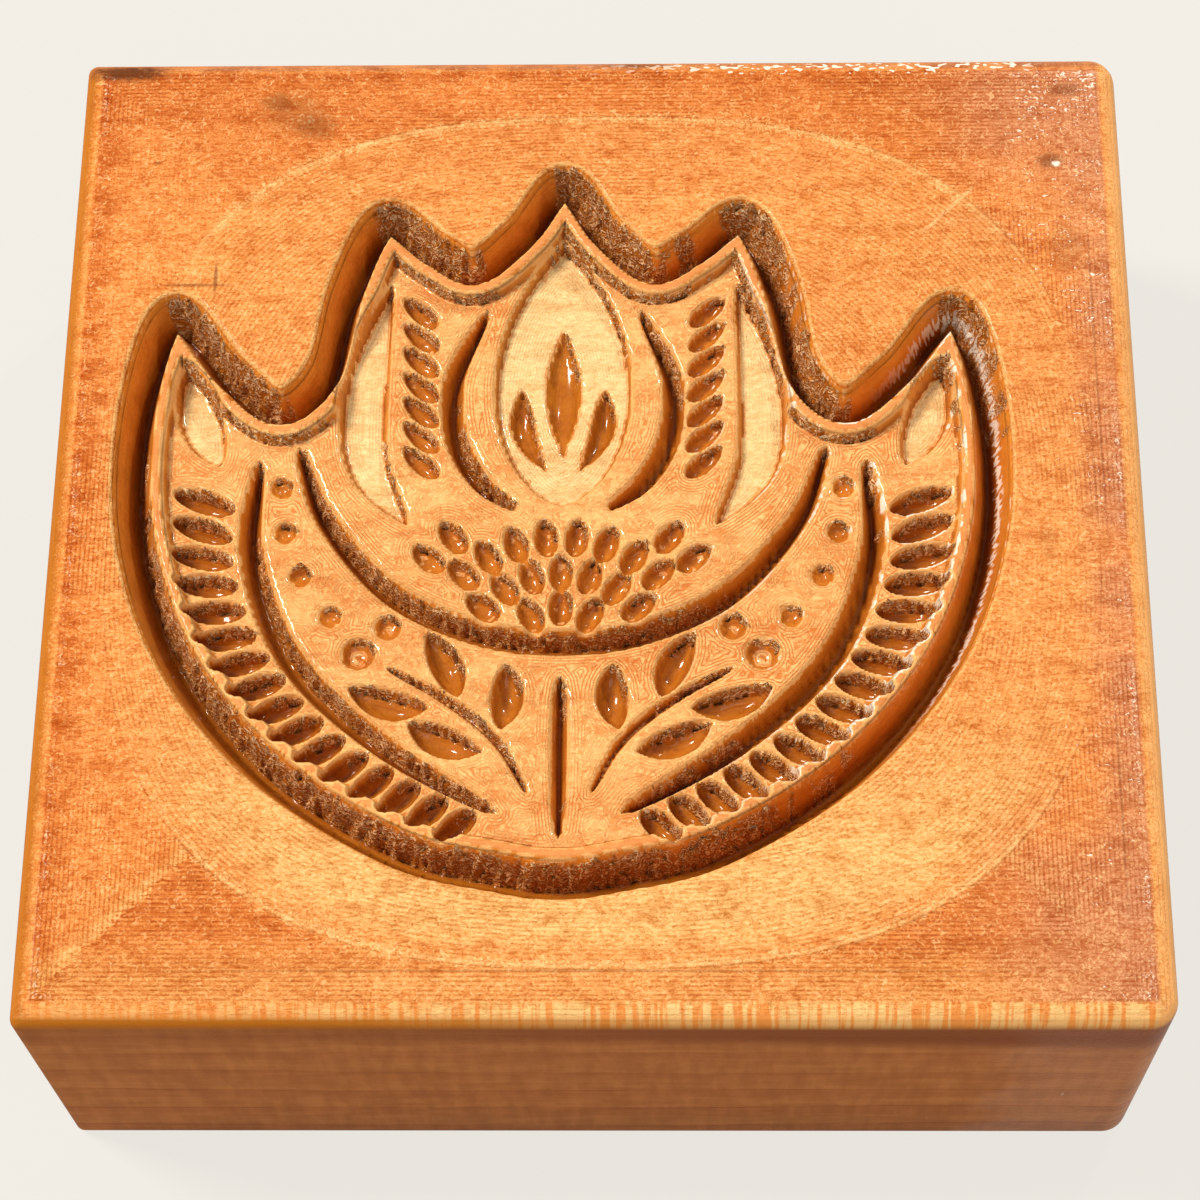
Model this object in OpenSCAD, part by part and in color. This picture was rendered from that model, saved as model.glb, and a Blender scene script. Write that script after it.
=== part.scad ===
// Tile stamp: one thick block of hardwood with a folk flower sunk into its top face.
// Millimetres. X runs along the grain, Y to the back, Z up, and the origin is under
// the middle of the block. The carving is drawn as flat paths and sunk with drafted
// cutters, so that clay lets go of every wall.

/* [Block] */
// Width along the grain
block_w = 90; // [80:0.5:140]
// Depth across the grain
block_d = 87.5; // [78:0.5:140]
// Thickness of the board
block_h = 33; // [20:0.5:50]
// Rounding of the four top edges
top_round = 1.9; // [0.5:0.1:4]
// Rounding of the four bottom edges
base_round = 0.9; // [0.3:0.1:3]
// Rounding of the two upright edges on the left
left_round = 0.8; // [0.4:0.1:4]
// Rounding of the two upright edges on the right
right_round = 2.3; // [0.4:0.1:6]

/* [Place of the carving] */
// Land left of the carving
margin_left = 4.9; // [3:0.1:16]
// Land right of the carving
margin_right = 10.6; // [3:0.1:16]
// Least land in front of the carving
margin_front = 9.9; // [3:0.1:14]
// Least land behind the carving
margin_back = 9.4; // [3:0.1:14]

/* [Border] */
// Depth of the border groove
border_depth = 5.4; // [3:0.1:9]
// Half width of the border groove along the floor
border_floor = 0.2; // [0.1:0.05:0.6]
// How much wider the border groove is in front
border_front = 0.6; // [0:0.05:1.5]
// Width of the lip inside the border groove
lip_w = 0.6; // [0.3:0.05:1]
// How far the lip lies below the top face
lip_depth = 0.8; // [0.3:0.05:1.5]
// Rise of a wall for each millimetre that it leans
wall_rise = 3.6; // [2.8:0.1:8]

/* [Inside the border] */
// Depth of the flat ground that the ornaments are cut from
ground_depth = 2.2; // [1.6:0.1:3]
// Depth of the main veins, below the ground
vein_depth = 2.9; // [1:0.1:4]
// Half width of the main veins
vein_w = 1.2; // [0.8:0.05:1.3]
// Depth of the petals, below the ground
petal_depth = 1.2; // [0.5:0.1:2]
// Depth of the drops in the middle petal, below the petal
drop_depth = 1.5; // [0.5:0.1:2.5]
// Depth of the scales, below the ground
scale_depth = 1.6; // [0.5:0.1:2.5]
// Half width of a scale
scale_w = 1.06; // [0.7:0.02:1.1]
// Length of a scale
scale_len = 2.8; // [2:0.1:3]
// Depth of the lobes along the leaves, below the ground
lobe_depth = 2.3; // [0.8:0.1:3]
// Half width of a lobe
lobe_w = 1.1; // [0.6:0.02:1.2]
// Lobes along each leaf
lobe_count = 16; // [6:1:17]
// Barbs beside each side petal
barb_count = 7; // [3:1:8]
// Depth of the sprigs' leaves, below the ground
sprig_depth = 2.2; // [0.6:0.1:2.6]
// Half width of a sprig's leaf
sprig_leaf_w = 1.4; // [0.8:0.05:1.5]
// Radius of the largest berry
berry_r = 1.4; // [0.8:0.05:1.5]
// Radius of the beads between the flower and its leaves
bead_r = 0.95; // [0.5:0.05:1.1]

/* [Hidden] */

wood = "#c9793f";

// How far a cutter stands above the surface that it cuts, and the least half width and
// thickness that it is drawn with.
above = 1;
overlap = 0.3;
least_w = 0.06;
thin = 0.01;

// Pieces in each stretch of a curve, and sides of what is round.
curve_steps = 4;
petal_steps = 5;
sprig_steps = 3;
ring_steps = 5;
mark_steps = 4;
round_sides = 8;
corner_sides = 48;

// A groove's ends: the smaller the power of its swell, the blunter they are.
plain_power = 0.35;
cup_power = 0.25;
leaf_vein_power = 0.3;

// A hollow's section passes this share of its half width at this share of its depth,
// and towards its ends it gets shallower by this power of its width.
hollow_knee = [0.74, 0.66];
hollow_fade = 0.6;

// Middle line of the border groove, right half, from the middle petal's tip round to
// the foot. The left half is its mirror image.
border_half = [
    [0, 32.2], [3.6, 27.4], [7.6, 23.8], [11.2, 25.6], [15.6, 28.6], [18.6, 22],
    [20.3, 13.8], [24, 10.2], [28.6, 13.8], [33.6, 19.4], [36, 10.5], [35.6, -1.5],
    [31.6, -12.8], [23.6, -22.6], [13, -29.4], [4.6, -31.6], [0, -32.2]];

border_line = smooth_ring(both_halves(border_half), ring_steps);

// Half the groove's width at its mouth, and how far the figure as drawn then reaches to
// each side, to the back and to the front. The land round it sets its final size.
mouth_w = border_floor + border_depth / wall_rise;
drawn_half_w = max([for (p = border_line) p[0]]) + mouth_w;
drawn_back = max([for (p = border_line) p[1]]) + mouth_w;
drawn_front = mouth_w - min([for (p = border_line) p[1]]);
figure_scale = min(
    (block_w - margin_left - margin_right) / (2 * drawn_half_w),
    (block_d - margin_front - margin_back) / (drawn_back + drawn_front));
figure_x = -block_w / 2 + margin_left + drawn_half_w * figure_scale;
figure_y = -block_d / 2 + margin_front + drawn_front * figure_scale;

// The cutters end above the top face, where the border's is wider by this much.
spread = above / wall_rise;
cutter_w = 2 * (drawn_half_w + spread) * figure_scale;
cutter_d = (drawn_back + drawn_front + 2 * spread) * figure_scale;

// Veins: the flower's cup, the edge of its middle petal, and the rib of a leaf.
cup_half = [[0, -10.8], [7, -9.8], [14.2, -6.2], [19.9, 0.6], [22.4, 7.2]];
petal_vein = [[6.6, 20.4], [9.3, 14], [9.1, 8.4], [7, 4.2], [3.9, 1.5]];
leaf_vein = [[25.7, 6], [26, -2.5], [22.4, -12], [14.8, -19.6], [5, -25.8]];
stem_line = [[0, -13.8], [0, -20], [0, -28]];
petal_vein_share = 0.9;
stem_share = 0.68;

// Middle lines of the sunk petals and of the drops in the middle one, each with its
// half width, and where along it that width comes (1 is the middle, more is later).
middle_petal = [[0, 2.4], [0, 14], [0, 27]];
middle_petal_shape = [6, 0.87, 0.85];
side_petal = [[13, 0], [16.6, 6], [16.8, 14], [15, 23]];
side_petal_shape = [2.1, 1, 0.7];
leaf_tip = [[29, 5.6], [30.9, 9.6], [32.4, 14.8]];
leaf_tip_shape = [1.9, 1.05, 0.75];
tall_drop = [[0, 7], [0, 12], [0, 18.8]];
tall_drop_shape = [1.5, 1.3, 0.8];
low_drop = [[1.5, 5.6], [3.3, 9.2], [3.6, 13.2]];
low_drop_shape = [1.05, 1.2, 0.8];

// Scales fan out from below the cup, in rows: radius, number, turn between two, and
// the turn on each side of the middle that the petal's foot takes up.
fan_centre = [0, -12.6];
scale_rows = [[3.7, 3, 30, 0], [6.9, 7, 17.4, 0], [10.1, 8, 13, 0], [13.3, 10, 11, 30]];
scale_shape = [0.8, 0.55];

// Barbs stand beside the middle petal's vein, all at one slant.
barb_foot = [10.7, 4.6];
barb_step = [0.07, 2.42];
barb_run = [2.7, 2.5];
barb_w = 0.92;

// Lobes stand across this line, from the leaf's rib to the border. The first and the
// last stand in from its ends by a share of the gap between two.
lobe_line = [[30.3, 3], [29.9, -4.4], [26.5, -12.6], [18.9, -20.9], [7.6, -27.3]];
lobe_half_len = [2.65, 1.8];
lobe_lean = 20;
lobe_shape = [0.9, 0.5];
lobe_end_gap = 0.3;

// Beads lie along this line, between the flower's cup and the leaf's rib.
bead_line = [[23.7, 3.4], [22.6, -3.2], [18.6, -9.2]];
bead_count = 4;

// A sprig on each side of the stem: its twig, its leaves and its berries.
twig = [[2.5, -24.2], [5.2, -19.4], [9.4, -15.8], [14.4, -13]];
twig_w = 0.5;
twig_share = 0.6;
sprig_leaves = [
    [[4.9, -18.4], [4.3, -15.7], [4.4, -12.8]],
    [[8.3, -15.6], [9.3, -12.9], [11, -10]],
    [[6.3, -20.4], [9.5, -19.6], [12.4, -17.9]],
    [[10.8, -16.6], [14.1, -16.3], [17.4, -14.8]]];
sprig_leaf_shape = [1.05, 0.8];
berries = [[16.7, -11.8, 1], [14.3, -9.4, 0.8]];

function mirrored(path) = [for (p = path) [-p[0], p[1]]];
function backwards(path) = [for (i = [len(path) - 1 : -1 : 0]) path[i]];
function both_halves(half) = concat(
    half, [for (p = backwards(mirrored(half))) if (p[0] < 0) p]);

// A smooth curve through its points (Catmull-Rom), from b to c with a and d outside.
function curve_at(a, b, c, d, u) =
    0.5 * (2 * b + (c - a) * u + (2 * a - 5 * b + 4 * c - d) * u * u
        + (3 * b - a - 3 * c + d) * u * u * u);

function smooth_open(p, steps = curve_steps) =
    let (last = len(p) - 1)
    concat([for (i = [0 : last - 1], k = [0 : steps - 1])
        curve_at(i == 0 ? 2 * p[0] - p[1] : p[i - 1], p[i], p[i + 1],
            i == last - 1 ? 2 * p[last] - p[last - 1] : p[i + 2], k / steps)],
        [p[last]]);

function smooth_ring(p, steps = curve_steps) =
    let (n = len(p))
    [for (i = [0 : n - 1], k = [0 : steps - 1])
        curve_at(p[(i + n - 1) % n], p[i], p[(i + 1) % n], p[(i + 2) % n], k / steps)];

function unit(v) = v / norm(v);
function left_of(v) = [-v[1], v[0]];
function heading(path, i) =
    unit(path[min(i + 1, len(path) - 1)] - path[max(i - 1, 0)]);

// Share of the full width at t along a groove: 0 at both ends, fuller with a small power.
function swell(t, lean, power) = pow(sin(180 * pow(t, lean)), power);

function lengths(path, i = 0, sum = 0) = i == len(path) - 1
    ? [sum]
    : concat([sum], lengths(path, i + 1, sum + norm(path[i + 1] - path[i])));

// The point at a share s of a path's length, with its heading.
function along(path, s) =
    let (
        run = lengths(path),
        want = s * run[len(run) - 1],
        i = max([for (k = [0 : len(run) - 2]) if (run[k] <= want) k]),
        share = (want - run[i]) / (run[i + 1] - run[i]))
    [path[i] + share * (path[i + 1] - path[i]), unit(path[i + 1] - path[i])];

// One ring of a groove's cross-section: sloping walls with a flat floor, or a hollow.
function groove_ring(centre, side, w, mouth_z, depth, hollow) =
    let (
        lip = w + overlap / wall_rise,
        floor_w = max(w - depth / wall_rise, least_w),
        flat_depth = min(depth, max(w - least_w, least_w) * wall_rise),
        knee_w = hollow_knee[0] * w,
        knee_depth = hollow_knee[1] * depth,
        outline = hollow
            ? [[lip, overlap], [knee_w, -knee_depth], [0, -depth],
                [-knee_w, -knee_depth], [-lip, overlap]]
            : [[lip, overlap], [floor_w, -flat_depth], [-floor_w, -flat_depth],
                [-lip, overlap]])
    [for (q = outline) [
        centre[0] + side[0] * q[0], centre[1] + side[1] * q[0], mouth_z + q[1]]];

// A groove swept along a path, closed at both ends.
module groove(
        path, width, mouth, depth, lean = 1, power = plain_power, hollow = false) {
    last = len(path) - 1;
    rings = [for (i = [0 : last])
        let (share = max(swell(i / last, lean, power), least_w))
        groove_ring(path[i], left_of(heading(path, i)), width * share,
            block_h - mouth, hollow ? depth * pow(share, hollow_fade) : depth, hollow)];
    m = len(rings[0]);
    points = [for (ring = rings, q = ring) q];
    sides = [for (i = [0 : last - 1], j = [0 : m - 1], half = [0, 1])
        let (a = i * m + j, b = i * m + (j + 1) % m)
        half == 0 ? [a, b, b + m] : [a, b + m, a + m]];
    start = [for (j = [m - 1 : -1 : 0]) j];
    end = [for (j = [0 : m - 1]) last * m + j];
    polyhedron(points, concat([start], sides, [end]));
}

module pair() {
    children();
    mirror([1, 0, 0]) children();
}

module border_plan() {
    polygon(border_line);
}

// What stands inside the border groove, at the height of its mouth. Its front edge is
// set back, so that the groove is wider there.
module inside_border(inset) {
    intersection() {
        offset(delta = -inset) border_plan();
        translate([0, border_front]) offset(delta = -inset) border_plan();
    }
}

// The border: a pocket whose walls lean out as they rise, round an island whose walls
// lean in. Each comes from its flat outline and a cone as steep as the cutter. The
// island is the taller one, so that it stands clear of the pocket above and below.
module border_groove() {
    foot = block_h - border_depth;
    pocket_h = border_depth + above;
    island_h = border_depth + 3 * above;
    difference() {
        minkowski() {
            translate([0, 0, foot])
                linear_extrude(thin) offset(delta = border_floor) border_plan();
            cylinder(h = pocket_h, r1 = 0, r2 = pocket_h / wall_rise, $fn = round_sides);
        }
        minkowski() {
            translate([0, 0, foot - above]) linear_extrude(thin)
                inside_border(border_floor + (border_depth + 2 * above) / wall_rise);
            cylinder(h = island_h, r1 = island_h / wall_rise, r2 = 0, $fn = round_sides);
        }
    }
}

// The ground inside the border, with a narrow lip left standing round it.
module ground() {
    lean = border_depth / wall_rise;
    translate([0, 0, block_h - lip_depth])
        linear_extrude(lip_depth + above / 2) inside_border(border_floor);
    translate([0, 0, block_h - ground_depth])
        linear_extrude(ground_depth - lip_depth / 2)
            inside_border(border_floor + lean + lip_w);
}

module veins() {
    cup = smooth_open(
        concat(backwards(mirrored(cup_half)), [for (p = cup_half) if (p[0] > 0) p]));
    groove(cup, vein_w, ground_depth, vein_depth, power = cup_power);
    pair() {
        groove(smooth_open(petal_vein), vein_w * petal_vein_share, ground_depth,
            vein_depth * petal_vein_share);
        groove(smooth_open(leaf_vein), vein_w, ground_depth, vein_depth,
            power = leaf_vein_power);
    }
    groove(smooth_open(stem_line), vein_w * stem_share, ground_depth,
        vein_depth * stem_share);
}

// A petal, leaf or drop: its middle line, and its half width, lean and fullness.
module leaf_shape(line, shape, mouth, depth, hollow = false, steps = petal_steps) {
    groove(smooth_open(line, steps), shape[0], mouth, depth, shape[1], shape[2], hollow);
}

module petals() {
    drops_from = ground_depth + petal_depth;
    leaf_shape(middle_petal, middle_petal_shape, ground_depth, petal_depth);
    leaf_shape(tall_drop, tall_drop_shape, drops_from, drop_depth, true);
    pair() {
        leaf_shape(side_petal, side_petal_shape, ground_depth, petal_depth);
        leaf_shape(leaf_tip, leaf_tip_shape, ground_depth, petal_depth);
        leaf_shape(low_drop, low_drop_shape, drops_from, drop_depth, true);
    }
}

// A short hollow mark from one point to another, with its half width and its shape.
module mark(from, to, w, depth, shape) {
    groove([for (k = [0 : mark_steps]) from + (to - from) * k / mark_steps],
        w, ground_depth, depth, shape[0], shape[1], true);
}

module scales() {
    for (row = scale_rows, i = [0 : row[1] - 1]) {
        turn = (i - (row[1] - 1) / 2) * row[2];
        aim = [sin(turn), cos(turn)];
        if (abs(turn) >= row[3])
            mark(fan_centre + aim * row[0], fan_centre + aim * (row[0] + scale_len),
                scale_w, scale_depth, scale_shape);
    }
}

module barbs() {
    pair() for (i = [0 : barb_count - 1])
        mark(barb_foot + barb_step * i, barb_foot + barb_step * i + barb_run,
            barb_w, scale_depth, scale_shape);
}

module lobes() {
    line = smooth_open(lobe_line);
    pair() for (i = [0 : lobe_count - 1]) {
        s = (i + lobe_end_gap) / (lobe_count - 1 + 2 * lobe_end_gap);
        here = along(line, s);
        aim = cos(lobe_lean) * left_of(here[1]) - sin(lobe_lean) * here[1];
        reach = aim * (lobe_half_len[0] + (lobe_half_len[1] - lobe_half_len[0]) * s);
        mark(here[0] - reach, here[0] + reach, lobe_w, lobe_depth, lobe_shape);
    }
}

module bead(at, r) {
    translate([at[0], at[1], block_h - ground_depth]) sphere(r = r, $fn = round_sides);
}

module sprigs() {
    line = smooth_open(bead_line);
    pair() {
        groove(smooth_open(twig), twig_w, ground_depth, sprig_depth * twig_share);
        for (leaf = sprig_leaves)
            leaf_shape(leaf, concat([sprig_leaf_w], sprig_leaf_shape), ground_depth,
                sprig_depth, true, sprig_steps);
        for (b = berries) bead(b, berry_r * b[2]);
        for (i = [0 : bead_count - 1])
            bead(along(line, i / (bead_count - 1))[0], bead_r);
    }
}

module carving() {
    resize([cutter_w, cutter_d, 0]) union() {
        border_groove();
        ground();
        veins();
        petals();
        scales();
        barbs();
        lobes();
        sprigs();
    }
}

// A rectangle from the origin, with its own rounding at each corner in turn:
// lower left, lower right, upper right, upper left.
module soft_rectangle(w, h, r) {
    corners = [[r[0], r[0]], [w - r[1], r[1]], [w - r[2], h - r[2]], [r[3], h - r[3]]];
    polygon([
        [r[0], 0], [w - r[1], 0], [w, r[1]], [w, h - r[2]], [w - r[2], h],
        [r[3], h], [0, h - r[3]], [0, r[0]]]);
    for (i = [0 : 3]) translate(corners[i]) circle(r = r[i], $fn = corner_sides);
}

// Plan, front view and side view of the block, each carried right through.
module blank() {
    edges = [base_round, base_round, top_round, top_round];
    intersection() {
        translate([-block_w / 2, -block_d / 2, 0]) linear_extrude(block_h)
            soft_rectangle(block_w, block_d,
                [left_round, right_round, right_round, left_round]);
        translate([-block_w / 2, block_d / 2 + above, 0]) rotate([90, 0, 0])
            linear_extrude(block_d + 2 * above) soft_rectangle(block_w, block_h, edges);
        translate([-block_w / 2 - above, -block_d / 2, 0]) rotate([90, 0, 90])
            linear_extrude(block_w + 2 * above) soft_rectangle(block_d, block_h, edges);
    }
}

module stamp_block() {
    color(wood) difference() {
        blank();
        translate([figure_x, figure_y, 0]) carving();
    }
}

stamp_block();
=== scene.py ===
"""Looks of a tile stamp: one thick block of oiled hardwood with a folk flower sunk into its top face.

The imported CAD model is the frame, and the block is its one piece. The top face is a height field, the depth of
every cut at each point of a fine grid, and a profile carried round that grid makes the edges, the sides and the
underside. Lengths in the classes are millimetres in the frame's axes: X along the grain, Y to the back and Z up
from the underside. They become metres where the mesh is made.
"""

from __future__ import annotations

import logging
import math
from dataclasses import dataclass, field
from enum import Enum
from typing import Iterable

import bpy
import numpy as np
from mathutils import Euler, Matrix, Vector

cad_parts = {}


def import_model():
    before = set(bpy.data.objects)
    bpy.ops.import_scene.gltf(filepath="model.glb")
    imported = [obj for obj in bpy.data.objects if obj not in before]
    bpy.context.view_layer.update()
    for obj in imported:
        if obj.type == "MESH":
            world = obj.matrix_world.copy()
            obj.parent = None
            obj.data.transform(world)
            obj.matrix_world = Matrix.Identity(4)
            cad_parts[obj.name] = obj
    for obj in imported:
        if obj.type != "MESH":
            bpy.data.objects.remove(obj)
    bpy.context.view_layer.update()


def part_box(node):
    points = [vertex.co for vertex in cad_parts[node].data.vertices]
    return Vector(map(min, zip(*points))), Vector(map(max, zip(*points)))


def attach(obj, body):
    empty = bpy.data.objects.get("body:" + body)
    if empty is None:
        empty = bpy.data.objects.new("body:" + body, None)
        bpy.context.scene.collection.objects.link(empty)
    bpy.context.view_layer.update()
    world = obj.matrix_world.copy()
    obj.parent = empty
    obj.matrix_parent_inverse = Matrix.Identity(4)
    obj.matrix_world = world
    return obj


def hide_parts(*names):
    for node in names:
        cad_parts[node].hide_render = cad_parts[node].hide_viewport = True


MM = 0.001
LEVELS = 3
COARSE = 2**LEVELS
log = logging.getLogger("tile_stamp")

Point = tuple[float, float]
Socket = bpy.types.NodeSocket


class Section(Enum):
    """Cross-sections that a cut can have."""

    SLOPED = "two drafted walls and a flat floor"
    HOLLOW = "a scoop with a crease along its bottom"
    ROUND = "a ball cutter's hollow"


def soft_min(a: np.ndarray, b: np.ndarray | float, blend: float) -> np.ndarray:
    """Lesser of two fields, with the corner where they cross rounded off.

    Formula: the lesser one, less the square of what is left of the blend, over four blends.

    Args:
        a: First field.
        b: Second field.
        blend: Difference between the two within which the corner is rounded.

    Returns:
        The rounded lesser field.
    """
    left = np.maximum(blend - np.abs(a - b), 0.0)
    return np.minimum(a, b) - left * left / (4.0 * blend)


def soft_max(a: np.ndarray, b: np.ndarray | float, blend: float) -> np.ndarray:
    """Greater of two fields, with the corner rounded off as soft_min does."""
    left = np.maximum(blend - np.abs(a - b), 0.0)
    return np.maximum(a, b) + left * left / (4.0 * blend)


def ease(low: float, high: float, value: np.ndarray) -> np.ndarray:
    """Smooth step from 0 at low to 1 at high."""
    share = np.clip((value - low) / (high - low), 0.0, 1.0)
    return share * share * (3.0 - 2.0 * share)


def smooth_path(points: Iterable[Point], steps: int, closed: bool = False) -> np.ndarray:
    """Smooth curve through points.

    Formula: a Catmull-Rom cubic between each two points, whose slope at a point is half of the way from the
    point before it to the point after it.

    Args:
        points: The points that the curve passes through.
        steps: Pieces that each stretch is cut into.
        closed: Whether the curve returns to its first point.

    Returns:
        Points along the curve, one row each. A closed curve's first point isn't repeated.
    """
    given = np.asarray(list(points), dtype=float)
    if closed:
        knots = np.vstack([given[-1], given, given[:2]])
    else:
        knots = np.vstack([2 * given[0] - given[1], given, 2 * given[-1] - given[-2]])
    before, here, after, beyond = (knots[k:len(knots) - 3 + k, None, :] for k in range(4))
    u = (np.arange(steps) / steps)[None, :, None]
    curve = 0.5 * (2 * here + (after - before) * u + (2 * before - 5 * here + 4 * after - beyond) * u**2
                   + (3 * here - before - 3 * after + beyond) * u**3)
    curve = curve.reshape(-1, 2)
    return curve if closed else np.vstack([curve, given[-1]])


def half_width(line: np.ndarray, width: float) -> np.ndarray:
    """Distance of each place on a line from the nearer end of a width centred on zero."""
    return width / 2 - np.abs(line)


def blurred(values: np.ndarray, spread: float) -> np.ndarray:
    """A field averaged over its surroundings.

    Formula: each row and then each column is summed with the weights of a bell curve.

    Args:
        values: The field.
        spread: Standard deviation of the bell curve, in points.

    Returns:
        The averaged field.
    """
    reach = int(3 * spread) + 1
    weights = np.exp(-0.5 * (np.arange(-reach, reach + 1) / spread) ** 2)
    weights /= weights.sum()
    for _ in range(2):
        padded = np.pad(values, ((reach, reach), (0, 0)), mode="edge")
        values = sum(w * padded[k:k + len(values)] for k, w in enumerate(weights)).T
    return values


def mirrored(points: Iterable[Point]) -> list[Point]:
    """The same points on the other side of the flower's middle line."""
    return [(-x, y) for x, y in points]


@dataclass(frozen=True)
class Sheet:
    """Fine grid of points that the top face is worked out on.

    Attributes:
        x: Places of the columns.
        y: Places of the rows.
    """

    x: np.ndarray
    y: np.ndarray

    @classmethod
    def over(cls, half_x: float, half_y: float, step: float) -> Sheet:
        """A sheet centred on the origin, of squares about one step wide and a whole number of coarse ones."""
        columns, rows = (COARSE * round(2 * half / step / COARSE) + 1 for half in (half_x, half_y))
        return cls(np.linspace(-half_x, half_x, columns), np.linspace(-half_y, half_y, rows))

    @property
    def shape(self) -> tuple[int, int]:
        """Rows and columns."""
        return len(self.y), len(self.x)

    @property
    def step(self) -> float:
        """Width of a square."""
        return float(self.x[1] - self.x[0])

    def window(self, path: np.ndarray, reach: float) -> tuple[slice, slice]:
        """Rows and columns that lie within a reach of a path."""
        low, high = path.min(axis=0) - reach, path.max(axis=0) + reach
        rows = np.searchsorted(self.y, [low[1], high[1]])
        columns = np.searchsorted(self.x, [low[0], high[0]])
        return slice(*rows), slice(*columns)

    def nearest(self, path: np.ndarray, widths: np.ndarray, reach: float) -> tuple[tuple, np.ndarray, np.ndarray]:
        """Distance of each point from a path with a width.

        Formula: for each straight piece, the distance to its nearest point and the width there, both as a share
        of the way along it, and of all the pieces the one whose edge is nearest.

        Args:
            path: Points along the path.
            widths: Half width at each of them.
            reach: How far from the path the distance is wanted.

        Returns:
            The window of the sheet, the distance from the path there, and the half width at the nearest point.
        """
        window = self.window(path, reach)
        x, y = np.meshgrid(self.x[window[1]], self.y[window[0]])
        distance = np.full(x.shape, 1e3)
        width = np.zeros(x.shape)
        for start, end, w0, w1 in zip(path[:-1], path[1:], widths[:-1], widths[1:]):
            run = end - start
            along = np.clip(((x - start[0]) * run[0] + (y - start[1]) * run[1]) / max(run @ run, 1e-9), 0.0, 1.0)
            away = np.hypot(x - start[0] - along * run[0], y - start[1] - along * run[1])
            wide = w0 + along * (w1 - w0)
            nearer = away - wide < distance - width
            distance = np.where(nearer, away, distance)
            width = np.where(nearer, wide, width)
        return window, distance, width

    def inside(self, ring: np.ndarray) -> np.ndarray:
        """Points that a closed ring goes round.

        Formula: each edge of the ring flips every point to its right, row by row, so that a point is inside
        where the running count of crossings is odd.

        Args:
            ring: Points of the ring, in order.

        Returns:
            True for each point inside.
        """
        flips = np.zeros((len(self.y), len(self.x) + 1), dtype=int)
        for (x0, y0), (x1, y1) in zip(ring, np.roll(ring, -1, axis=0)):
            rows = np.nonzero((self.y > min(y0, y1)) & (self.y <= max(y0, y1)))[0]
            if len(rows):
                cross = x0 + (self.y[rows] - y0) * (x1 - x0) / (y1 - y0)
                np.add.at(flips, (rows, np.searchsorted(self.x, cross)), 1)
        return np.cumsum(flips, axis=1)[:, :-1] % 2 == 1

    def signed(self, ring: np.ndarray, reach: float) -> np.ndarray:
        """Distance from a closed ring, less than zero inside it and no more than a reach."""
        closed = np.vstack([ring, ring[:1]])
        distance = np.full(self.shape, reach)
        for start, end in zip(closed[:-1], closed[1:]):
            window, away, _ = self.nearest(np.array([start, end]), np.zeros(2), reach)
            distance[window] = np.minimum(distance[window], away)
        return np.where(self.inside(ring), -distance, distance)

    def noise(self, cell_x: float, cell_y: float, seed: int) -> np.ndarray:
        """Smooth random field between -1 and 1.

        Formula: seeded random values on a coarse lattice, blended between its lines by the smooth step.

        Args:
            cell_x: Width of a lattice cell.
            cell_y: Depth of a lattice cell.
            seed: Seed of the random values.

        Returns:
            The field over the sheet.
        """
        u = (self.x - self.x[0]) / cell_x
        v = (self.y - self.y[0]) / cell_y
        lattice = np.random.default_rng(seed).uniform(-1.0, 1.0, (int(v[-1]) + 2, int(u[-1]) + 2))
        column, row = u.astype(int), v.astype(int)
        share_x, share_y = ease(0.0, 1.0, u - column), ease(0.0, 1.0, v - row)[:, None]
        low = lattice[row][:, column] * (1 - share_x) + lattice[row][:, column + 1] * share_x
        high = lattice[row + 1][:, column] * (1 - share_x) + lattice[row + 1][:, column + 1] * share_x
        return low * (1 - share_y) + high * share_y


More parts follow.
